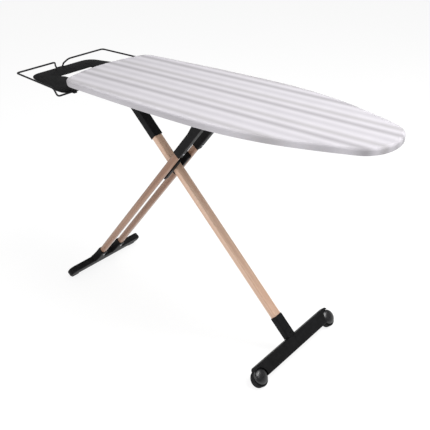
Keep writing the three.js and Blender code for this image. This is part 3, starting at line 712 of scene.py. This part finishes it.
def combine(base, *tools, operation="DIFFERENCE"):
    """The base with every tool cut from it, or joined to it."""
    for tool in tools:
        pair = []
        for bm in (base, tool):
            mesh = bpy.data.meshes.new("shape")
            bm.to_mesh(mesh)
            bm.free()
            pair.append(show("shape", mesh))
        cutter = pair[0].modifiers.new("cut", "BOOLEAN")
        cutter.operation, cutter.object, cutter.solver = operation, pair[1], "EXACT"
        graph = bpy.context.evaluated_depsgraph_get()
        made = bpy.data.meshes.new_from_object(pair[0].evaluated_get(graph))
        base = bmesh.new()
        base.from_mesh(made)
        meshes = [made] + [o.data for o in pair]
        for o in pair:
            bpy.data.objects.remove(o)
        for mesh in meshes:
            bpy.data.meshes.remove(mesh)
    return base


def eased(node, edge, segments=2):
    """A CAD node's shape with its sharp edges rounded, in the board's frame."""
    bm = bmesh.new()
    bm.from_mesh(frame["nodes"][node].data)
    bm.transform(Matrix.Scale(1 / MM, 4) @ BOARD_FRAME.inverted())
    bmesh.ops.remove_doubles(bm, verts=bm.verts, dist=0.01)
    bmesh.ops.dissolve_limit(bm, angle_limit=math.radians(1), verts=bm.verts, edges=bm.edges)
    sharp = [e for e in bm.edges if len(e.link_faces) == 2
             and e.calc_face_angle(0) > math.radians(40)]
    bmesh.ops.bevel(bm, geom=sharp, offset=edge, segments=segments, profile=0.5,
                    affect="EDGES", clamp_overlap=True)
    bmesh.ops.recalc_face_normals(bm, faces=bm.faces)
    return bm


def mesh_of(name, bm, maker):
    """A finished mesh from a shape already in metres."""
    mesh = bpy.data.meshes.new(name)
    bm.to_mesh(mesh)
    bm.free()
    mesh.materials.append(finish(maker))
    return mesh


def piece(name, bm, maker, body, node=None, matrix=BOARD_FRAME, smooth=38, own_axes=False):
    """Turns a shape in millimetres into a finished piece that rides on a body and stands
    for a CAD node. A piece with its own axes keeps them, so that its grain runs along it."""
    bm.transform(TO_METRES if own_axes else matrix @ TO_METRES)
    mesh = mesh_of(name, bm, maker)
    mesh.shade_smooth()
    mesh.set_sharp_from_angle(angle=math.radians(smooth))
    made = show(name, mesh)
    if own_axes:
        made.matrix_world = matrix
    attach(made, body)
    if node:
        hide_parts(node)
    return made


class BoardPart:
    """What every step of the making shares."""

    bl_options = {"REGISTER"}

    def execute(self, context):
        self.make()
        return {"FINISHED"}


# ---- the ironing surface ----------------------------------------------------------------


class MakeCover(BoardPart, Operator):
    """Makes the fitted cotton cover, gathered under the board by its hem"""

    bl_idname = "ironing_board.cover"
    bl_label = "Cotton cover"

    hem_reach = 24.0
    crown, slack = 0.125, 0.15
    # folds start this far below the top and are full this much lower
    fold_from, fold_over = 6, 16
    # waves to the millimetre of the creases round the edge and of the softer drape
    crease_waves, drape_waves = 0.055, 0.012

    def section(self, edge):
        """The cover's section at its edge, as inset and height, from the top inward."""
        top, low = COVER_HIGH.z, COVER_LOW.z
        turn = [(edge * (1 - math.sin(a)), top - (edge + 1) * (1 - math.cos(a)))
                for a in (k / 8 * math.pi / 2 for k in range(9))]
        side = [(0.1, top - edge - 3), (0.3, top - edge - 5.5), (0.5, low + 5.5)]
        under = [(0.9, low + 3.2), (2.0, low + 1.4), (3.8, low + 0.5), (7, low + 0.3),
                 (11, low + 0.3), (15, low + 0.4)]
        # the hem ends in a casing, a little fuller than the cloth, for its elastic
        casing = [(18, low - 0.1), (20.5, low - 0.9), (22.6, low - 0.7), (23.6, low + 0.2),
                  (23.8, low + 1.0)]
        return turn + side + under + casing

    def make(self):
        s = settings("board_cloth")
        edge = s.edge / MM
        outline = board_outline()
        count = len(outline)
        bend = []
        for i, here in enumerate(outline):
            a = (here - outline[i - 3]).normalized()
            b = (outline[(i + 3) % count] - here).normalized()
            bend.append(max(0.0, a.x * b.y - a.y * b.x))
        spread = 9
        pull = [min(1.0, 5.0 * sum(bend[(i + k) % count] for k in range(-spread, spread + 1))
                    / (2 * spread + 1)) for i in range(count)]
        bm = bmesh.new()
        rings = []
        for inset, height in self.section(edge):
            loop = offset(outline, inset)
            depth = COVER_HIGH.z - height
            fold = max(0.0, min(1.0, (depth - self.fold_from) / self.fold_over))
            under = max(0.0, min(1.0, (inset - 2) / 8))
            ring = []
            for i, p in enumerate(loop):
                way = (p - outline[i]).normalized() if inset > 0.05 else Vector((0, 0))
                along = Vector((p.x * self.crease_waves, p.y * self.crease_waves, 0.0))
                crease = noise.noise(along * 1.7) + 0.5 * noise.noise(along * 4.1)
                soft = noise.noise(Vector((p.x * self.drape_waves, p.y * self.drape_waves, 3)))
                inward = fold * (0.25 + 0.9 * pull[i]) * (0.55 + crease)
                inward = max(0.0, inward + 0.3 * fold * soft)
                q = p + way * inward * (1 - under)
                drop = under * (0.2 + pull[i]) * crease * 1.1
                ring.append(bm.verts.new((q.x, q.y, height + drop)))
            rings.append(ring)
        for a, b in zip(rings, rings[1:]):
            bridge(bm, a, b)
        self.fill_top(bm, rings[0])
        bmesh.ops.recalc_face_normals(bm, faces=bm.faces)
        cover = piece("cover_cotton", bm, woven_cotton, "board", "cover", smooth=70)
        thicken(cover, s.thickness)

    def fill_top(self, bm, rim):
        """Fills the top with an even net of points, so that it can be very slightly full."""
        loop = [v.co.xy for v in rim]
        pitch = 11.0
        inner = offset(loop, pitch * 0.6)
        grid = []
        for i in range(int((COVER_HIGH.x - COVER_LOW.x) / pitch) + 1):
            for j in range(int((COVER_HIGH.y - COVER_LOW.y) / pitch) + 1):
                p = Vector((COVER_LOW.x + (i + 0.5) * pitch,
                            COVER_LOW.y + (j + (0.5 if i % 2 else 0.0)) * pitch))
                if inside(p, inner):
                    grid.append(p)
        count = len(loop)
        edges = [(i, (i + 1) % count) for i in range(count)]
        points, _, faces, origin, _, _ = delaunay_2d_cdt(loop + grid, edges, [], 1, 1e-4)
        verts = []
        for p, source in zip(points, origin):
            if source and source[0] < count:
                verts.append(rim[source[0]])
            else:
                lift = self.crown * noise.noise(Vector((p.x * 0.01, p.y * 0.016, 7)))
                verts.append(bm.verts.new((p.x, p.y, COVER_HIGH.z - self.slack + lift)))
        for face in faces:
            bm.faces.new([verts[k] for k in face])


def inside(p, loop):
    """Whether a point lies inside a closed outline."""
    found = False
    for a, b in zip(loop, loop[1:] + loop[:1]):
        if (a.y > p.y) != (b.y > p.y) and p.x < a.x + (b.x - a.x) * (p.y - a.y) / (b.y - a.y):
            found = not found
    return found


def thicken(made, thickness):
    """Gives a single surface its thickness, inward."""
    solid = made.modifiers.new("thickness", "SOLIDIFY")
    solid.thickness, solid.offset, solid.use_even_offset = thickness, -1.0, True
    graph = bpy.context.evaluated_depsgraph_get()
    mesh = bpy.data.meshes.new_from_object(made.evaluated_get(graph))
    made.modifiers.clear()
    thin, made.data = made.data, mesh
    mesh.name = made.name
    bpy.data.meshes.remove(thin)


class MakePad(BoardPart, Operator):
    """Makes the felt pad that lies under the cover"""

    bl_idname = "ironing_board.pad"
    bl_label = "Felt pad"

    def make(self):
        outline = offset(board_outline(10), PAD_LOW.x - COVER_LOW.x)
        pad = plate(outline, PAD_LOW.z, PAD_HIGH.z, 6.0, steps=5)
        made = piece("pad_felt", pad, needled_felt, "board", "felt_pad")


class MakePanel(BoardPart, Operator):
    """Makes the steam panel of expanded steel, a sheet of diamond openings"""

    bl_idname = "ironing_board.panel"
    bl_label = "Expanded steam panel"

    def make(self):
        s = settings("board_metal")
        long, short, strand = (v / MM for v in (s.cell_long, s.cell_short, s.strand))
        border = offset(board_outline(10), PANEL_LOW.x - COVER_LOW.x + 1)
        level = PANEL_HIGH.z
        bm = bmesh.new()
        known = {}

        def vertex(x, y):
            key = (round(x, 2), round(y, 2))
            if key not in known:
                known[key] = bm.verts.new((x, y, level))
            return known[key]

        a, b = long / 2, short / 2
        trim = strand / 2 * math.hypot(a, b) / b
        hole = (a - trim) / a
        ways = ((1, 0), (0, 1), (-1, 0), (0, -1))
        columns = int((PANEL_HIGH.x - PANEL_LOW.x) / a) + 1
        rows = int((PANEL_HIGH.y - PANEL_LOW.y) / b) + 1
        for i in range(columns):
            for j in range(-rows // 2, rows // 2 + 1):
                if (i + j) % 2:
                    continue
                x, y = PANEL_LOW.x + i * a, j * b
                corners = [Vector((x + u * a, y + v * b)) for u, v in ways]
                if not all(inside(c, border) for c in corners):
                    continue
                outer = [vertex(*c) for c in corners]
                inner = [bm.verts.new((x + u * a * hole, y + v * b * hole, level))
                         for u, v in ways]
                bridge(bm, outer, inner)
        bmesh.ops.recalc_face_normals(bm, faces=bm.faces)
        if bm.faces[:][0].normal.z < 0:
            bmesh.ops.reverse_faces(bm, faces=bm.faces)
        made = piece("panel_expanded", bm, expanded_steel, "board", "steam_panel")
        thicken(made, (PANEL_HIGH.z - PANEL_LOW.z) * MM)


# ---- steel under the board --------------------------------------------------------------

PRESSED = ["cross_brace_tail", "cross_brace_hinge", "cross_brace_mid", "cross_brace_nose",
           "rest_arm_near", "rest_arm_far", "rod_holder_tail", "rod_holder_nose",
           "leg_hinge_bracket"]


class MakeFrameSteel(BoardPart, Operator):
    """Rounds the pressed braces, arms, rails and brackets, and rivets them together"""

    bl_idname = "ironing_board.frame_steel"
    bl_label = "Pressed steel under the board"

    def make(self):
        for node in PRESSED:
            piece(f"{node}_pressed", eased(node, 0.5), powder_coat, "board", node)
        piece("rim_channel_rolled", eased("rim_channel", 0.35, 1), powder_coat, "board",
              "rim_channel")
        for side, _ in SIDES:
            node = f"guide_rail_{side}"
            piece(f"{node}_rolled", eased(node, 0.4), zinc_plate, "board", node)
        self.rivet()

    def rivet(self):
        under_rail = RAIL_HIGH.z - 1.6
        across = (RAIL_LOW.y + RAIL_HIGH.y) / 2
        flat = [(x, side * across, under_rail) for x in (-311, -240, 150, 551)
                for _, side in SIDES]
        flat += [(-240 + dx, dy, RAIL_HIGH.z - 2) for dx in (-15, 15) for dy in (-12, 12)]
        for i, (x, y, z) in enumerate(flat):
            head = turned([(0, -0.6), (1.8, -0.6), (2.8, -0.35), (3.2, 0), (0, 0)], 24)
            piece(f"rivet_{i + 1:02d}", moved(head, x, y, z), zinc_plate, "board")
        arm = (ARM_LOW.y + ARM_HIGH.y) / 2
        low = ARM_LOW.z
        for i, (x, z) in enumerate(((-311, RAIL_HIGH.z - 3), (-366, low), (-452, low))):
            for name, side in SIDES:
                head = screw_head()
                head.transform(Matrix.Translation((x, side * arm, z))
                               @ Matrix.Rotation(math.pi, 4, "X"))
                piece(f"arm_screw_{name}_{i + 1}", head, zinc_plate, "board")


def screw_head(radius=4.2, height=2.4):
    """A pan head standing on z = 0 with a cross recess."""
    dome = turned([(0, 0), (radius, 0), (radius, height * 0.35), (radius * 0.88, height * 0.72),
                   (radius * 0.6, height * 0.94), (0, height)], 32)
    slots = [plate(rounded_rect(w, h, 0.3, 2), height - 1.2, height + 1)
             for w, h in ((radius * 1.15, 1.0), (1.0, radius * 1.15))]
    return combine(dome, *slots)


class MakeRods(BoardPart, Operator):
    """Turns the pins, axles, brake rod and lever shaft"""

    bl_idname = "ironing_board.rods"
    bl_label = "Pins, axles and rods"

    def make(self):
        x, z = (FOLD.x - CROSSING.x) / MM, FOLD.z / MM
        low, high = node_box("leg_hinge_pin")
        ends = [(8.0, low.y, low.y + 3.2), (8.0, high.y - 3.2, high.y)]
        shank = pin((x, low.y + 1, z), (x, high.y - 1, z), 5.0)
        heads = [pin((x, a, z), (x, b, z), r, 1.2) for r, a, b in ends]
        piece("hinge_pin_turned", merged(shank, *heads), zinc_plate, "board", "leg_hinge_pin")
        for node, body, radius, maker, axis in (
                ("brake_rod", "board", 3.4, drawn_steel, 0),
                ("carriage_axle", "carriage", 5.0, drawn_steel, 1),
                ("cross_pivot_pin", "leg_b", 5.7, zinc_plate, 1),
                ("release_lever", "lever", 4.0, powder_coat, 1)):
            low, high = node_box(node)
            middle = (low + high) / 2
            start, end = middle.copy(), middle.copy()
            start[axis], end[axis] = low[axis], high[axis]
            piece(f"{node}_turned", pin(start, end, radius), maker, body, node)


# ---- the iron rest ----------------------------------------------------------------------

# outlines down one side, each corner as x, y and how far its rounding reaches
REST_CORNERS = [(-611.5, 149, 46), (-478, 178, 20), (-400, 195, 16), (-346, 195, 26)]
SLOT_CORNERS = [(-525, 85, 6), (-495, 70, 4), (-400, 70, 10)]
TRAY_WALL = 3
WIRE_RADIUS = 3.3
WIRE_LOW = 842.4
WIRE_BEND = 12


def mirrored(corners):
    return [(x, -y, r) for x, y, r in corners] + corners[::-1]


class MakeIronRest(BoardPart, Operator):
    """Presses the iron rest's tray and bends the wire rack above it"""

    bl_idname = "ironing_board.iron_rest"
    bl_label = "Iron rest and wire rack"

    def make(self):
        outline, slot = rounded(mirrored(REST_CORNERS), 9), rounded(mirrored(SLOT_CORNERS))
        low, top = REST_LOW.z, REST_HIGH.z
        tray = plate(outline, low, top, 2.8, [slot], steps=6)
        around_slot = offset(slot[::-1], TRAY_WALL)[::-1]
        well = plate(offset(outline, TRAY_WALL), low - 1, top - TRAY_WALL, 0, [around_slot])
        piece("rest_tray", combine(tray, well), textured_tray, "board", "iron_rest")
        dip, tail = -615.7, -597
        high = RACK_HIGH.z - WIRE_RADIUS
        half = [(dip, 15, WIRE_LOW), (dip, 20, WIRE_LOW + 12), (tail, 34, high),
                (tail, 214, high), (-358, 232, high - 7), (-336, 235, WIRE_LOW),
                (-336, 120, WIRE_LOW)]
        corners = [(x, -y, z) for x, y, z in half[::-1]] + half
        rack = swept(bent(corners, WIRE_BEND), WIRE_RADIUS)
        piece("rack_wire", rack, dipped_wire, "board", "wire_rack")
        for node in ("wire_clip_tail", "wire_clip_near", "wire_clip_far"):
            piece(f"{node}_moulded", eased(node, 0.6), moulded_abs, "board", node)


# ---- the legs ---------------------------------------------------------------------------

GAP = 0.3  # what touching parts keep between them
HINGE_BORE = 5.3
# the front foot: distances down the single leg from the crossing, and out from its middle
BAR_TOP, BAR_BOTTOM, BAR_HALF, BAR_BACK, BAR_FRONT = 744.5, 794.5, 224, -14, 14
WHEEL_AT, WHEEL_OUT, POCKET_FLOOR, POCKET_RADIUS = 782, 213, 0.6, 28.6
PAD_AT = 786.5


def stick(width, thick, reach, start, end, y=0.0):
    """A planed bar with rounded arrises, along the leg."""
    return bar_section(rounded_rect(width, thick, reach), start, end, y, 1.0)


def bar_section(section, start, end, y, edge):
    """A section drawn out along the leg, at y."""
    return moved(plate(section, start, end, edge, turn=LENGTHWISE), 0, y)


def socket_room(width, thick, reach, start, end, y=0.0):
    """The room that a leg's wood takes up in a sleeve or socket."""
    section = rounded_rect(width + 2 * GAP, thick + 2 * GAP, reach)
    return bar_section(section, start, end, y, 0)


class MakeSingleLeg(BoardPart, Operator):
    """Makes the single beech leg with its head sleeve, foot sleeve and foot bar"""

    bl_idname = "ironing_board.single_leg"
    bl_label = "Single leg"

    wood = 36, 24, 5
    upper, lower, tuck = 126.0, 656.0, 45.0
    half_width, half_thick = 20, 15

    def make(self):
        wood = stick(*self.wood, -self.upper - self.tuck, self.lower + self.tuck)
        piece("single_leg_beech", wood, lacquered_beech, "leg_a", "leg_a_wood", LEG_A,
              own_axes=True)
        self.head_sleeve()
        self.foot()

    def head_sleeve(self):
        hinge = LEG_A.inverted() @ FOLD / MM
        px, pz, r, t = hinge.x, hinge.z, 12.0, self.half_thick
        outline = points_of([(-self.upper, -t), (-self.upper, t), (-242, t),
                             (px + 6, pz + r * 0.9)])
        outline += arc((px, pz), r, math.pi / 3, math.pi * 1.42, 20)
        outline += points_of([(-280, -t)])
        body = plate(tidy_loop(outline), -self.half_width, self.half_width, 3.2,
                     turn=ACROSS, steps=5)
        room = socket_room(*self.wood, -self.upper - self.tuck, -self.upper + 2)
        bore = pin((px, -30, pz), (px, 30, pz), HINGE_BORE)
        piece("single_leg_head_sleeve", combine(body, room, bore), moulded_abs, "leg_a",
              "leg_a_upper_sleeve", LEG_A)

    def foot(self):
        section = rounded_rect(2 * self.half_width, 2 * self.half_thick, 6)
        sleeve = bar_section(section, self.lower, BAR_TOP - GAP, 0, 1.5)
        dimple = pin((733, 0, 12.6), (733, 0, 20), 4.0)
        sleeve = combine(sleeve, socket_room(*self.wood, self.lower - 2,
                                             self.lower + self.tuck), dimple)
        piece("single_leg_foot_sleeve", sleeve, moulded_abs, "leg_a", "leg_a_lower_sleeve", LEG_A)
        bar = plate(front_foot_outline(), BAR_BACK, BAR_FRONT, 4.2, steps=6)
        for _, side in SIDES:
            x, y = WHEEL_AT, side * WHEEL_OUT
            pocket = pin((x, y, POCKET_FLOOR), (x, y, 30), POCKET_RADIUS, 0.1, 72)
            bore = pin((x, y, -20), (x, y, 5), 4.3, 0.1)
            bar = combine(bar, pocket, bore)
        piece("front_foot_moulded", bar, moulded_abs, "leg_a", "front_foot_bar", LEG_A)


def front_foot_outline():
    """The bar's outline: tighter corners above, full round ones at the floor."""
    return rounded([(BAR_TOP, -BAR_HALF, 13), (BAR_BOTTOM, -BAR_HALF, 24),
                    (BAR_BOTTOM, BAR_HALF, 24), (BAR_TOP, BAR_HALF, 13)], 12)


def below_floor(leg):
    """A block under the floor, in a leg's own frame."""
    block = plate(rounded([(-900, -400, 0), (900, -400, 0), (900, 400, 0), (-900, 400, 0)]),
                  -100, 0.02)
    block.transform(Matrix.Scale(1 / MM, 4) @ leg.inverted() @ BOARD_FRAME @ TO_METRES)
    return block


class MakeWheels(BoardPart, Operator):
    """Turns the two wheels, their axles and the rubber pads behind them"""

    bl_idname = "ironing_board.wheels"
    bl_label = "Wheels and floor pads"

    def make(self):
        axle_radius = 4.0
        for side, sign in SIDES:
            wheel = moved(turned(self.wheel_profile()), WHEEL_AT, sign * WHEEL_OUT)
            piece(f"wheel_{side}_polished", wheel, polished_wheel, f"{side}_wheel",
                  f"wheel_{side}", LEG_A)
            pad = turned([(0, -20.3), (28.2, -20.3), (29.4, -20.0), (30.5, -18.4),
                          (30.5, -1.0), (30.0, 0.2), (0, 0.2)])
            bar_room = plate(offset(front_foot_outline(), -GAP), BAR_BACK - GAP, 20)
            pad = combine(moved(pad, PAD_AT, sign * WHEEL_OUT), bar_room, below_floor(LEG_A))
            piece(f"foot_pad_{side}_rubber", pad, floor_rubber, "leg_a", f"foot_pad_{side}",
                  LEG_A)
            axle = pin((WHEEL_AT, sign * WHEEL_OUT, -18.3), (WHEEL_AT, sign * WHEEL_OUT, 9),
                       axle_radius)
            piece(f"wheel_axle_{side}_turned", axle, zinc_plate, "leg_a", f"wheel_axle_{side}",
                  LEG_A)

    def wheel_profile(self):
        """A short tread, then one full dome, with a blind bore for the axle behind."""
        back, tread, front, radius, bore = 1.0, 6.0, 16.0, 27.5, 4.5
        rim = [(radius - 1.2, back), (radius - 0.35, back + 0.35), (radius, back + 1.2),
               (radius, tread)]
        cap = [(radius * math.cos(a), tread + (front - tread) * math.sin(a))
               for a in (k / 14 * math.pi / 2 for k in range(1, 15))]
        cap[-1] = (0, cap[-1][1])
        return [(bore, back), *rim, *cap, (0, 10), (bore, 10), (bore, back)]


class MakeTwinLeg(BoardPart, Operator):
    """Makes the twin beech poles, their sleeves and saddles, and the rear foot"""

    bl_idname = "ironing_board.twin_leg"
    bl_label = "Twin leg"

    wood = 26, 25, 9
    upper, lower, tuck, spread = 95.0, 632.0, 40.0, 50.0
    half_width, half_thick = 15, 15.5

    def make(self):
        for side, sign in SIDES:
            y = sign * self.spread
            wood = stick(*self.wood, -self.upper - self.tuck, self.lower + self.tuck, y)
            # the poles' wood is painted darker, as painted shade from the board above
            piece(f"twin_leg_beech_{side}", wood, beech_darkened_for_shade, "leg_b", f"leg_b_pole_{side}",
                  LEG_B, own_axes=True)
            self.head_sleeve(side, y)
            saddle = self.saddle(sign)
            piece(f"pivot_saddle_{side}_moulded", saddle, moulded_abs, "leg_b",
                  f"pivot_saddle_{side}", LEG_B)
        self.foot()

    def head_sleeve(self, side, y):
        hinge = LEG_B.inverted() @ Vector((2 * CROSSING.x - FOLD.x, 0, FOLD.z)) / MM
        px, pz, r, t = hinge.x, hinge.z, 13.0, self.half_thick
        outline = points_of([(-self.upper, -t), (-self.upper, t), (-293, t),
                             (px + 4, pz + r * 0.95)])
        outline += arc((px, pz), r, math.pi * 0.42, math.pi * 1.3, 20)
        outline += curve(*points_of([(-303, -t - 3), (-273, -t - 6), (-253, -t - 6)]), 5)
        outline += points_of([(-206, -t)])
        body = plate(tidy_loop(outline), y - self.half_width, y + self.half_width, 5.2,
                     turn=ACROSS, steps=6)
        room = socket_room(*self.wood, -self.upper - self.tuck, -self.upper + 2, y)
        bore = pin((px, y - 30, pz), (px, y + 30, pz), HINGE_BORE)
        piece(f"twin_leg_head_sleeve_{side}", combine(body, room, bore), moulded_abs, "leg_b",
              f"leg_b_upper_sleeve_{side}", LEG_B)

    def saddle(self, sign):
        inner, outer = 18.6, self.spread - self.wood[0] / 2 - GAP
        outline = rounded([(-55, -15.5, 6), (60, -15.5, 6), (60, 15.5, 6), (-55, 15.5, 6)])
        low, high = sorted((sign * inner, sign * outer))
        body = plate(outline, low, high, 2.2, turn=ACROSS)
        return combine(body, pin((0, low - 5, 0), (0, high + 5, 0), 6.0))

    def foot(self):
        top, bottom, half, thick, end = 696.0, 746.0, 198.0, 27.0, 24.8
        outline = rounded([(top, -half, end), (bottom, -half, end), (bottom, half, end),
                           (top, half, end)], 14)
        bar = plate(outline, -thick / 2, thick / 2, 6, steps=6)
        mouth, reach = 15.5, 15.0
        for _, side in SIDES:
            y = side * self.spread
            bend = points_of([(top - 32, mouth + 1), (top - 8, mouth + 3),
                              (top + 4, mouth + reach)])
            right = [Vector((self.lower, mouth)), *curve(*bend, 10)]
            loop = [Vector((p.x, y + p.y)) for p in right]
            loop += [Vector((p.x, y - p.y)) for p in right[::-1]]
            bar = combine(bar, plate(tidy_loop(loop), -15, 15, 3.4, steps=5),
                          operation="UNION")
        rooms = [socket_room(*self.wood, self.lower - 2, self.lower + self.tuck + GAP,
                             sign * self.spread) for _, sign in SIDES]
        piece("rear_foot_moulded", combine(bar, *rooms), moulded_abs, "leg_b", "rear_foot_bar",
              LEG_B)
        start, deep, inner, outer = bottom + GAP, 6.5, 146, 184
        for name, side in SIDES:
            outline = rounded([(start, side * inner, 1.5), (start + deep, side * (inner + 4), 4),
                               (start + deep, side * (outer - 8), 6),
                               (start, side * outer, 1.5)], 8)
            pad = plate(outline, -thick / 2, thick / 2, 1.2)
            piece(f"rear_foot_pad_{name}_rubber", combine(pad, below_floor(LEG_B)), floor_rubber,
                  "leg_b", f"rear_foot_pad_{name}", LEG_B)


class MakeScrews(BoardPart, Operator):
    """Sets a cross-head screw in each sleeve and socket of the legs"""

    bl_idname = "ironing_board.screws"
    bl_label = "Leg screws"

    def make(self):
        places = [("screw_a_upper", LEG_A, "leg_a", (-148, 0, -15.3), math.pi),
                  ("screw_a_lower", LEG_A, "leg_a", (678, 0, -15.3), math.pi)]
        for side, sign in SIDES:
            places += [(f"screw_b_upper_{side}", LEG_B, "leg_b", (-117, sign * 50, 15.8), 0),
                       (f"screw_b_lower_{side}", LEG_B, "leg_b", (654, sign * 50, 15.3), 0)]
        for node, matrix, body, at, turn in places:
            head = screw_head()
            head.transform(Matrix.Translation(at) @ Matrix.Rotation(turn, 4, "X"))
            piece(f"{node}_pan_head", head, zinc_plate, body, node, matrix)


# ---- the carriage and its lever ---------------------------------------------------------


class MakeCarriage(BoardPart, Operator):
    """Makes the sliding blocks, brake, release lever and its spring"""

    bl_idname = "ironing_board.carriage"
    bl_label = "Carriage and release lever"

    def make(self):
        for side, _ in SIDES:
            node = f"slide_block_{side}"
            piece(f"{node}_moulded", eased(node, 0.8), pale_nylon, "carriage", node)
        piece("lever_bracket_pressed", eased("lever_bracket", 0.5), powder_coat, "carriage",
              "lever_bracket")
        piece("brake_plate_stamped", eased("brake_plate", 0.25, 1), zinc_plate, "carriage",
              "brake_plate")
        shaft_low, shaft_high = node_box("release_lever")
        shaft = (shaft_low + shaft_high) / 2
        low, high = node_box("lever_spring")
        turns, per_turn, wire = 4, 24, 0.8
        radius = (high.x - low.x) / 2 - wire
        pitch = (high.y - low.y - 2 * wire) / turns
        path = []
        for i in range(turns * per_turn + 1):
            a = i / per_turn * 2 * math.pi
            path.append(Vector((shaft.x + radius * math.cos(a),
                                low.y + wire + pitch * i / per_turn,
                                shaft.z + radius * math.sin(a))))
        piece("lever_spring_coiled", swept(path, wire, 10), drawn_steel, "carriage",
              "lever_spring")
        low, high = node_box("lever_grip")
        x, z = shaft.x, shaft.z
        outline = rounded([(x - 9, z - 8, 5), (x + 52, z - 13, 4), (x + 54, z - 2, 4),
                           (x - 4, z + 8, 6)], 8)
        grip = plate(outline, low.y, high.y, 2.6, turn=ACROSS, steps=5)
        # three finger grooves cross the grip's end
        for k in range(3):
            groove = pin((x + 28 + 8 * k, low.y - 2, z + 4.9 - 1.1 * k),
                         (x + 28 + 8 * k, high.y + 2, z + 4.9 - 1.1 * k), 2.2, 0.1, 20)
            grip = combine(grip, groove)
        room = pin((x, high.y - 44, z), (x, high.y - 3, z), 4.3)
        piece("lever_grip_moulded", combine(grip, room), moulded_abs, "lever", "lever_grip")


# ---- the stage --------------------------------------------------------------------------


def softbox(name, place, target, size, power):
    """A square area light that looks at the board."""
    light = bpy.data.lights.new(name, "AREA")
    light.shape, light.size, light.energy = "SQUARE", size, power
    lamp = show(name, light)
    lamp.location = place
    aim = Vector(target) - Vector(place)
    lamp.rotation_euler = aim.to_track_quat("-Z", "Y").to_euler()


class MakeStage(BoardPart, Operator):
    """Sets the pale floor, the softboxes and the camera"""

    bl_idname = "ironing_board.stage"
    bl_label = "Floor, light and camera"

    def make(self):
        s = settings("board_stage")
        far = 40000
        floor = plate(rounded([(-far, -far, 0), (far, -far, 0), (far, far, 0),
                               (-far, far, 0)]), -20, -0.3)
        floor.transform(TO_METRES)
        show("studio_floor", mesh_of("studio_floor", floor, floor_paint))
        world = bpy.data.worlds.new("white_surround")
        world.use_nodes = True
        sky = world.node_tree
        place = add_node(sky, "ShaderNodeTexCoord").outputs["Generated"]
        height = add_node(sky, "ShaderNodeSeparateXYZ", {"Vector": place}).outputs["Z"]
        shine = add_node(sky, "ShaderNodeMapRange", {
            "Value": height, "From Min": 0.08, "From Max": 0.3, "To Min": s.horizon,
            "To Max": s.sky}, interpolation_type="SMOOTHSTEP").outputs["Result"]
        around = sky.nodes["Background"]
        around.inputs["Color"].default_value = srgb("FFFFFF")
        sky.links.new(shine, around.inputs["Strength"])
        bpy.context.scene.world = world
        bpy.context.scene.view_settings.view_transform = "Standard"
        softbox("softbox_key", (1.5, 0.6, 3.6), (0.2, 0, 0.6), 2.4, s.key)
        softbox("softbox_fill", (0.5, -3.0, 1.9), (0.1, 0, 0.7), 1.6, s.fill)
        self.camera()

    def camera(self):
        lens = bpy.data.cameras.new("camera")
        lens.lens, lens.sensor_width = 57.58, 36.0
        lens.dof.use_dof = False
        eye = show("camera", lens)
        heading, pitch, roll = 2.2712, 0.4979, -0.0133
        ahead = Vector((math.cos(pitch) * math.cos(heading),
                        math.cos(pitch) * math.sin(heading), -math.sin(pitch)))
        right = ahead.cross(Vector((0, 0, 1))).normalized()
        up = right.cross(ahead)
        c, r = math.cos(roll), math.sin(roll)
        axes = Matrix((c * right + r * up, -r * right + c * up, -ahead)).transposed()
        eye.matrix_world = Matrix.Translation((1.4724, -1.6656, 1.6271)) @ axes.to_4x4()
        bpy.context.scene.camera = eye


# ---- the sidebar and the run ------------------------------------------------------------

STEPS = (MakeStage, MakePad, MakeCover, MakePanel, MakeFrameSteel, MakeRods, MakeIronRest,
         MakeSingleLeg, MakeWheels, MakeTwinLeg, MakeScrews, MakeCarriage)


class IroningBoardPanel(Panel):
    """Lists the steps that make the board, and the settings they read"""

    bl_idname = "VIEW3D_PT_ironing_board"
    bl_label = "Ironing board"
    bl_space_type = "VIEW_3D"
    bl_region_type = "UI"
    bl_category = "Ironing board"

    def draw(self, context):
        for step in STEPS:
            self.layout.operator(step.bl_idname)
        for name, group in SETTINGS.items():
            column = self.layout.box().column()
            for key in group.__annotations__:
                column.prop(getattr(context.scene, name), key)


CLASSES = (*SETTINGS.values(), *STEPS, IroningBoardPanel)


def register():
    for item in CLASSES:
        bpy.utils.register_class(item)
    for name, group in SETTINGS.items():
        setattr(bpy.types.Scene, name, PointerProperty(type=group))


def unregister():
    for name in SETTINGS:
        delattr(bpy.types.Scene, name)
    for item in reversed(CLASSES):
        bpy.utils.unregister_class(item)


def main():
    register()
    for step in STEPS:
        group, name = step.bl_idname.split(".")
        getattr(getattr(bpy.ops, group), name)()


if __name__ == "__main__":
    main()
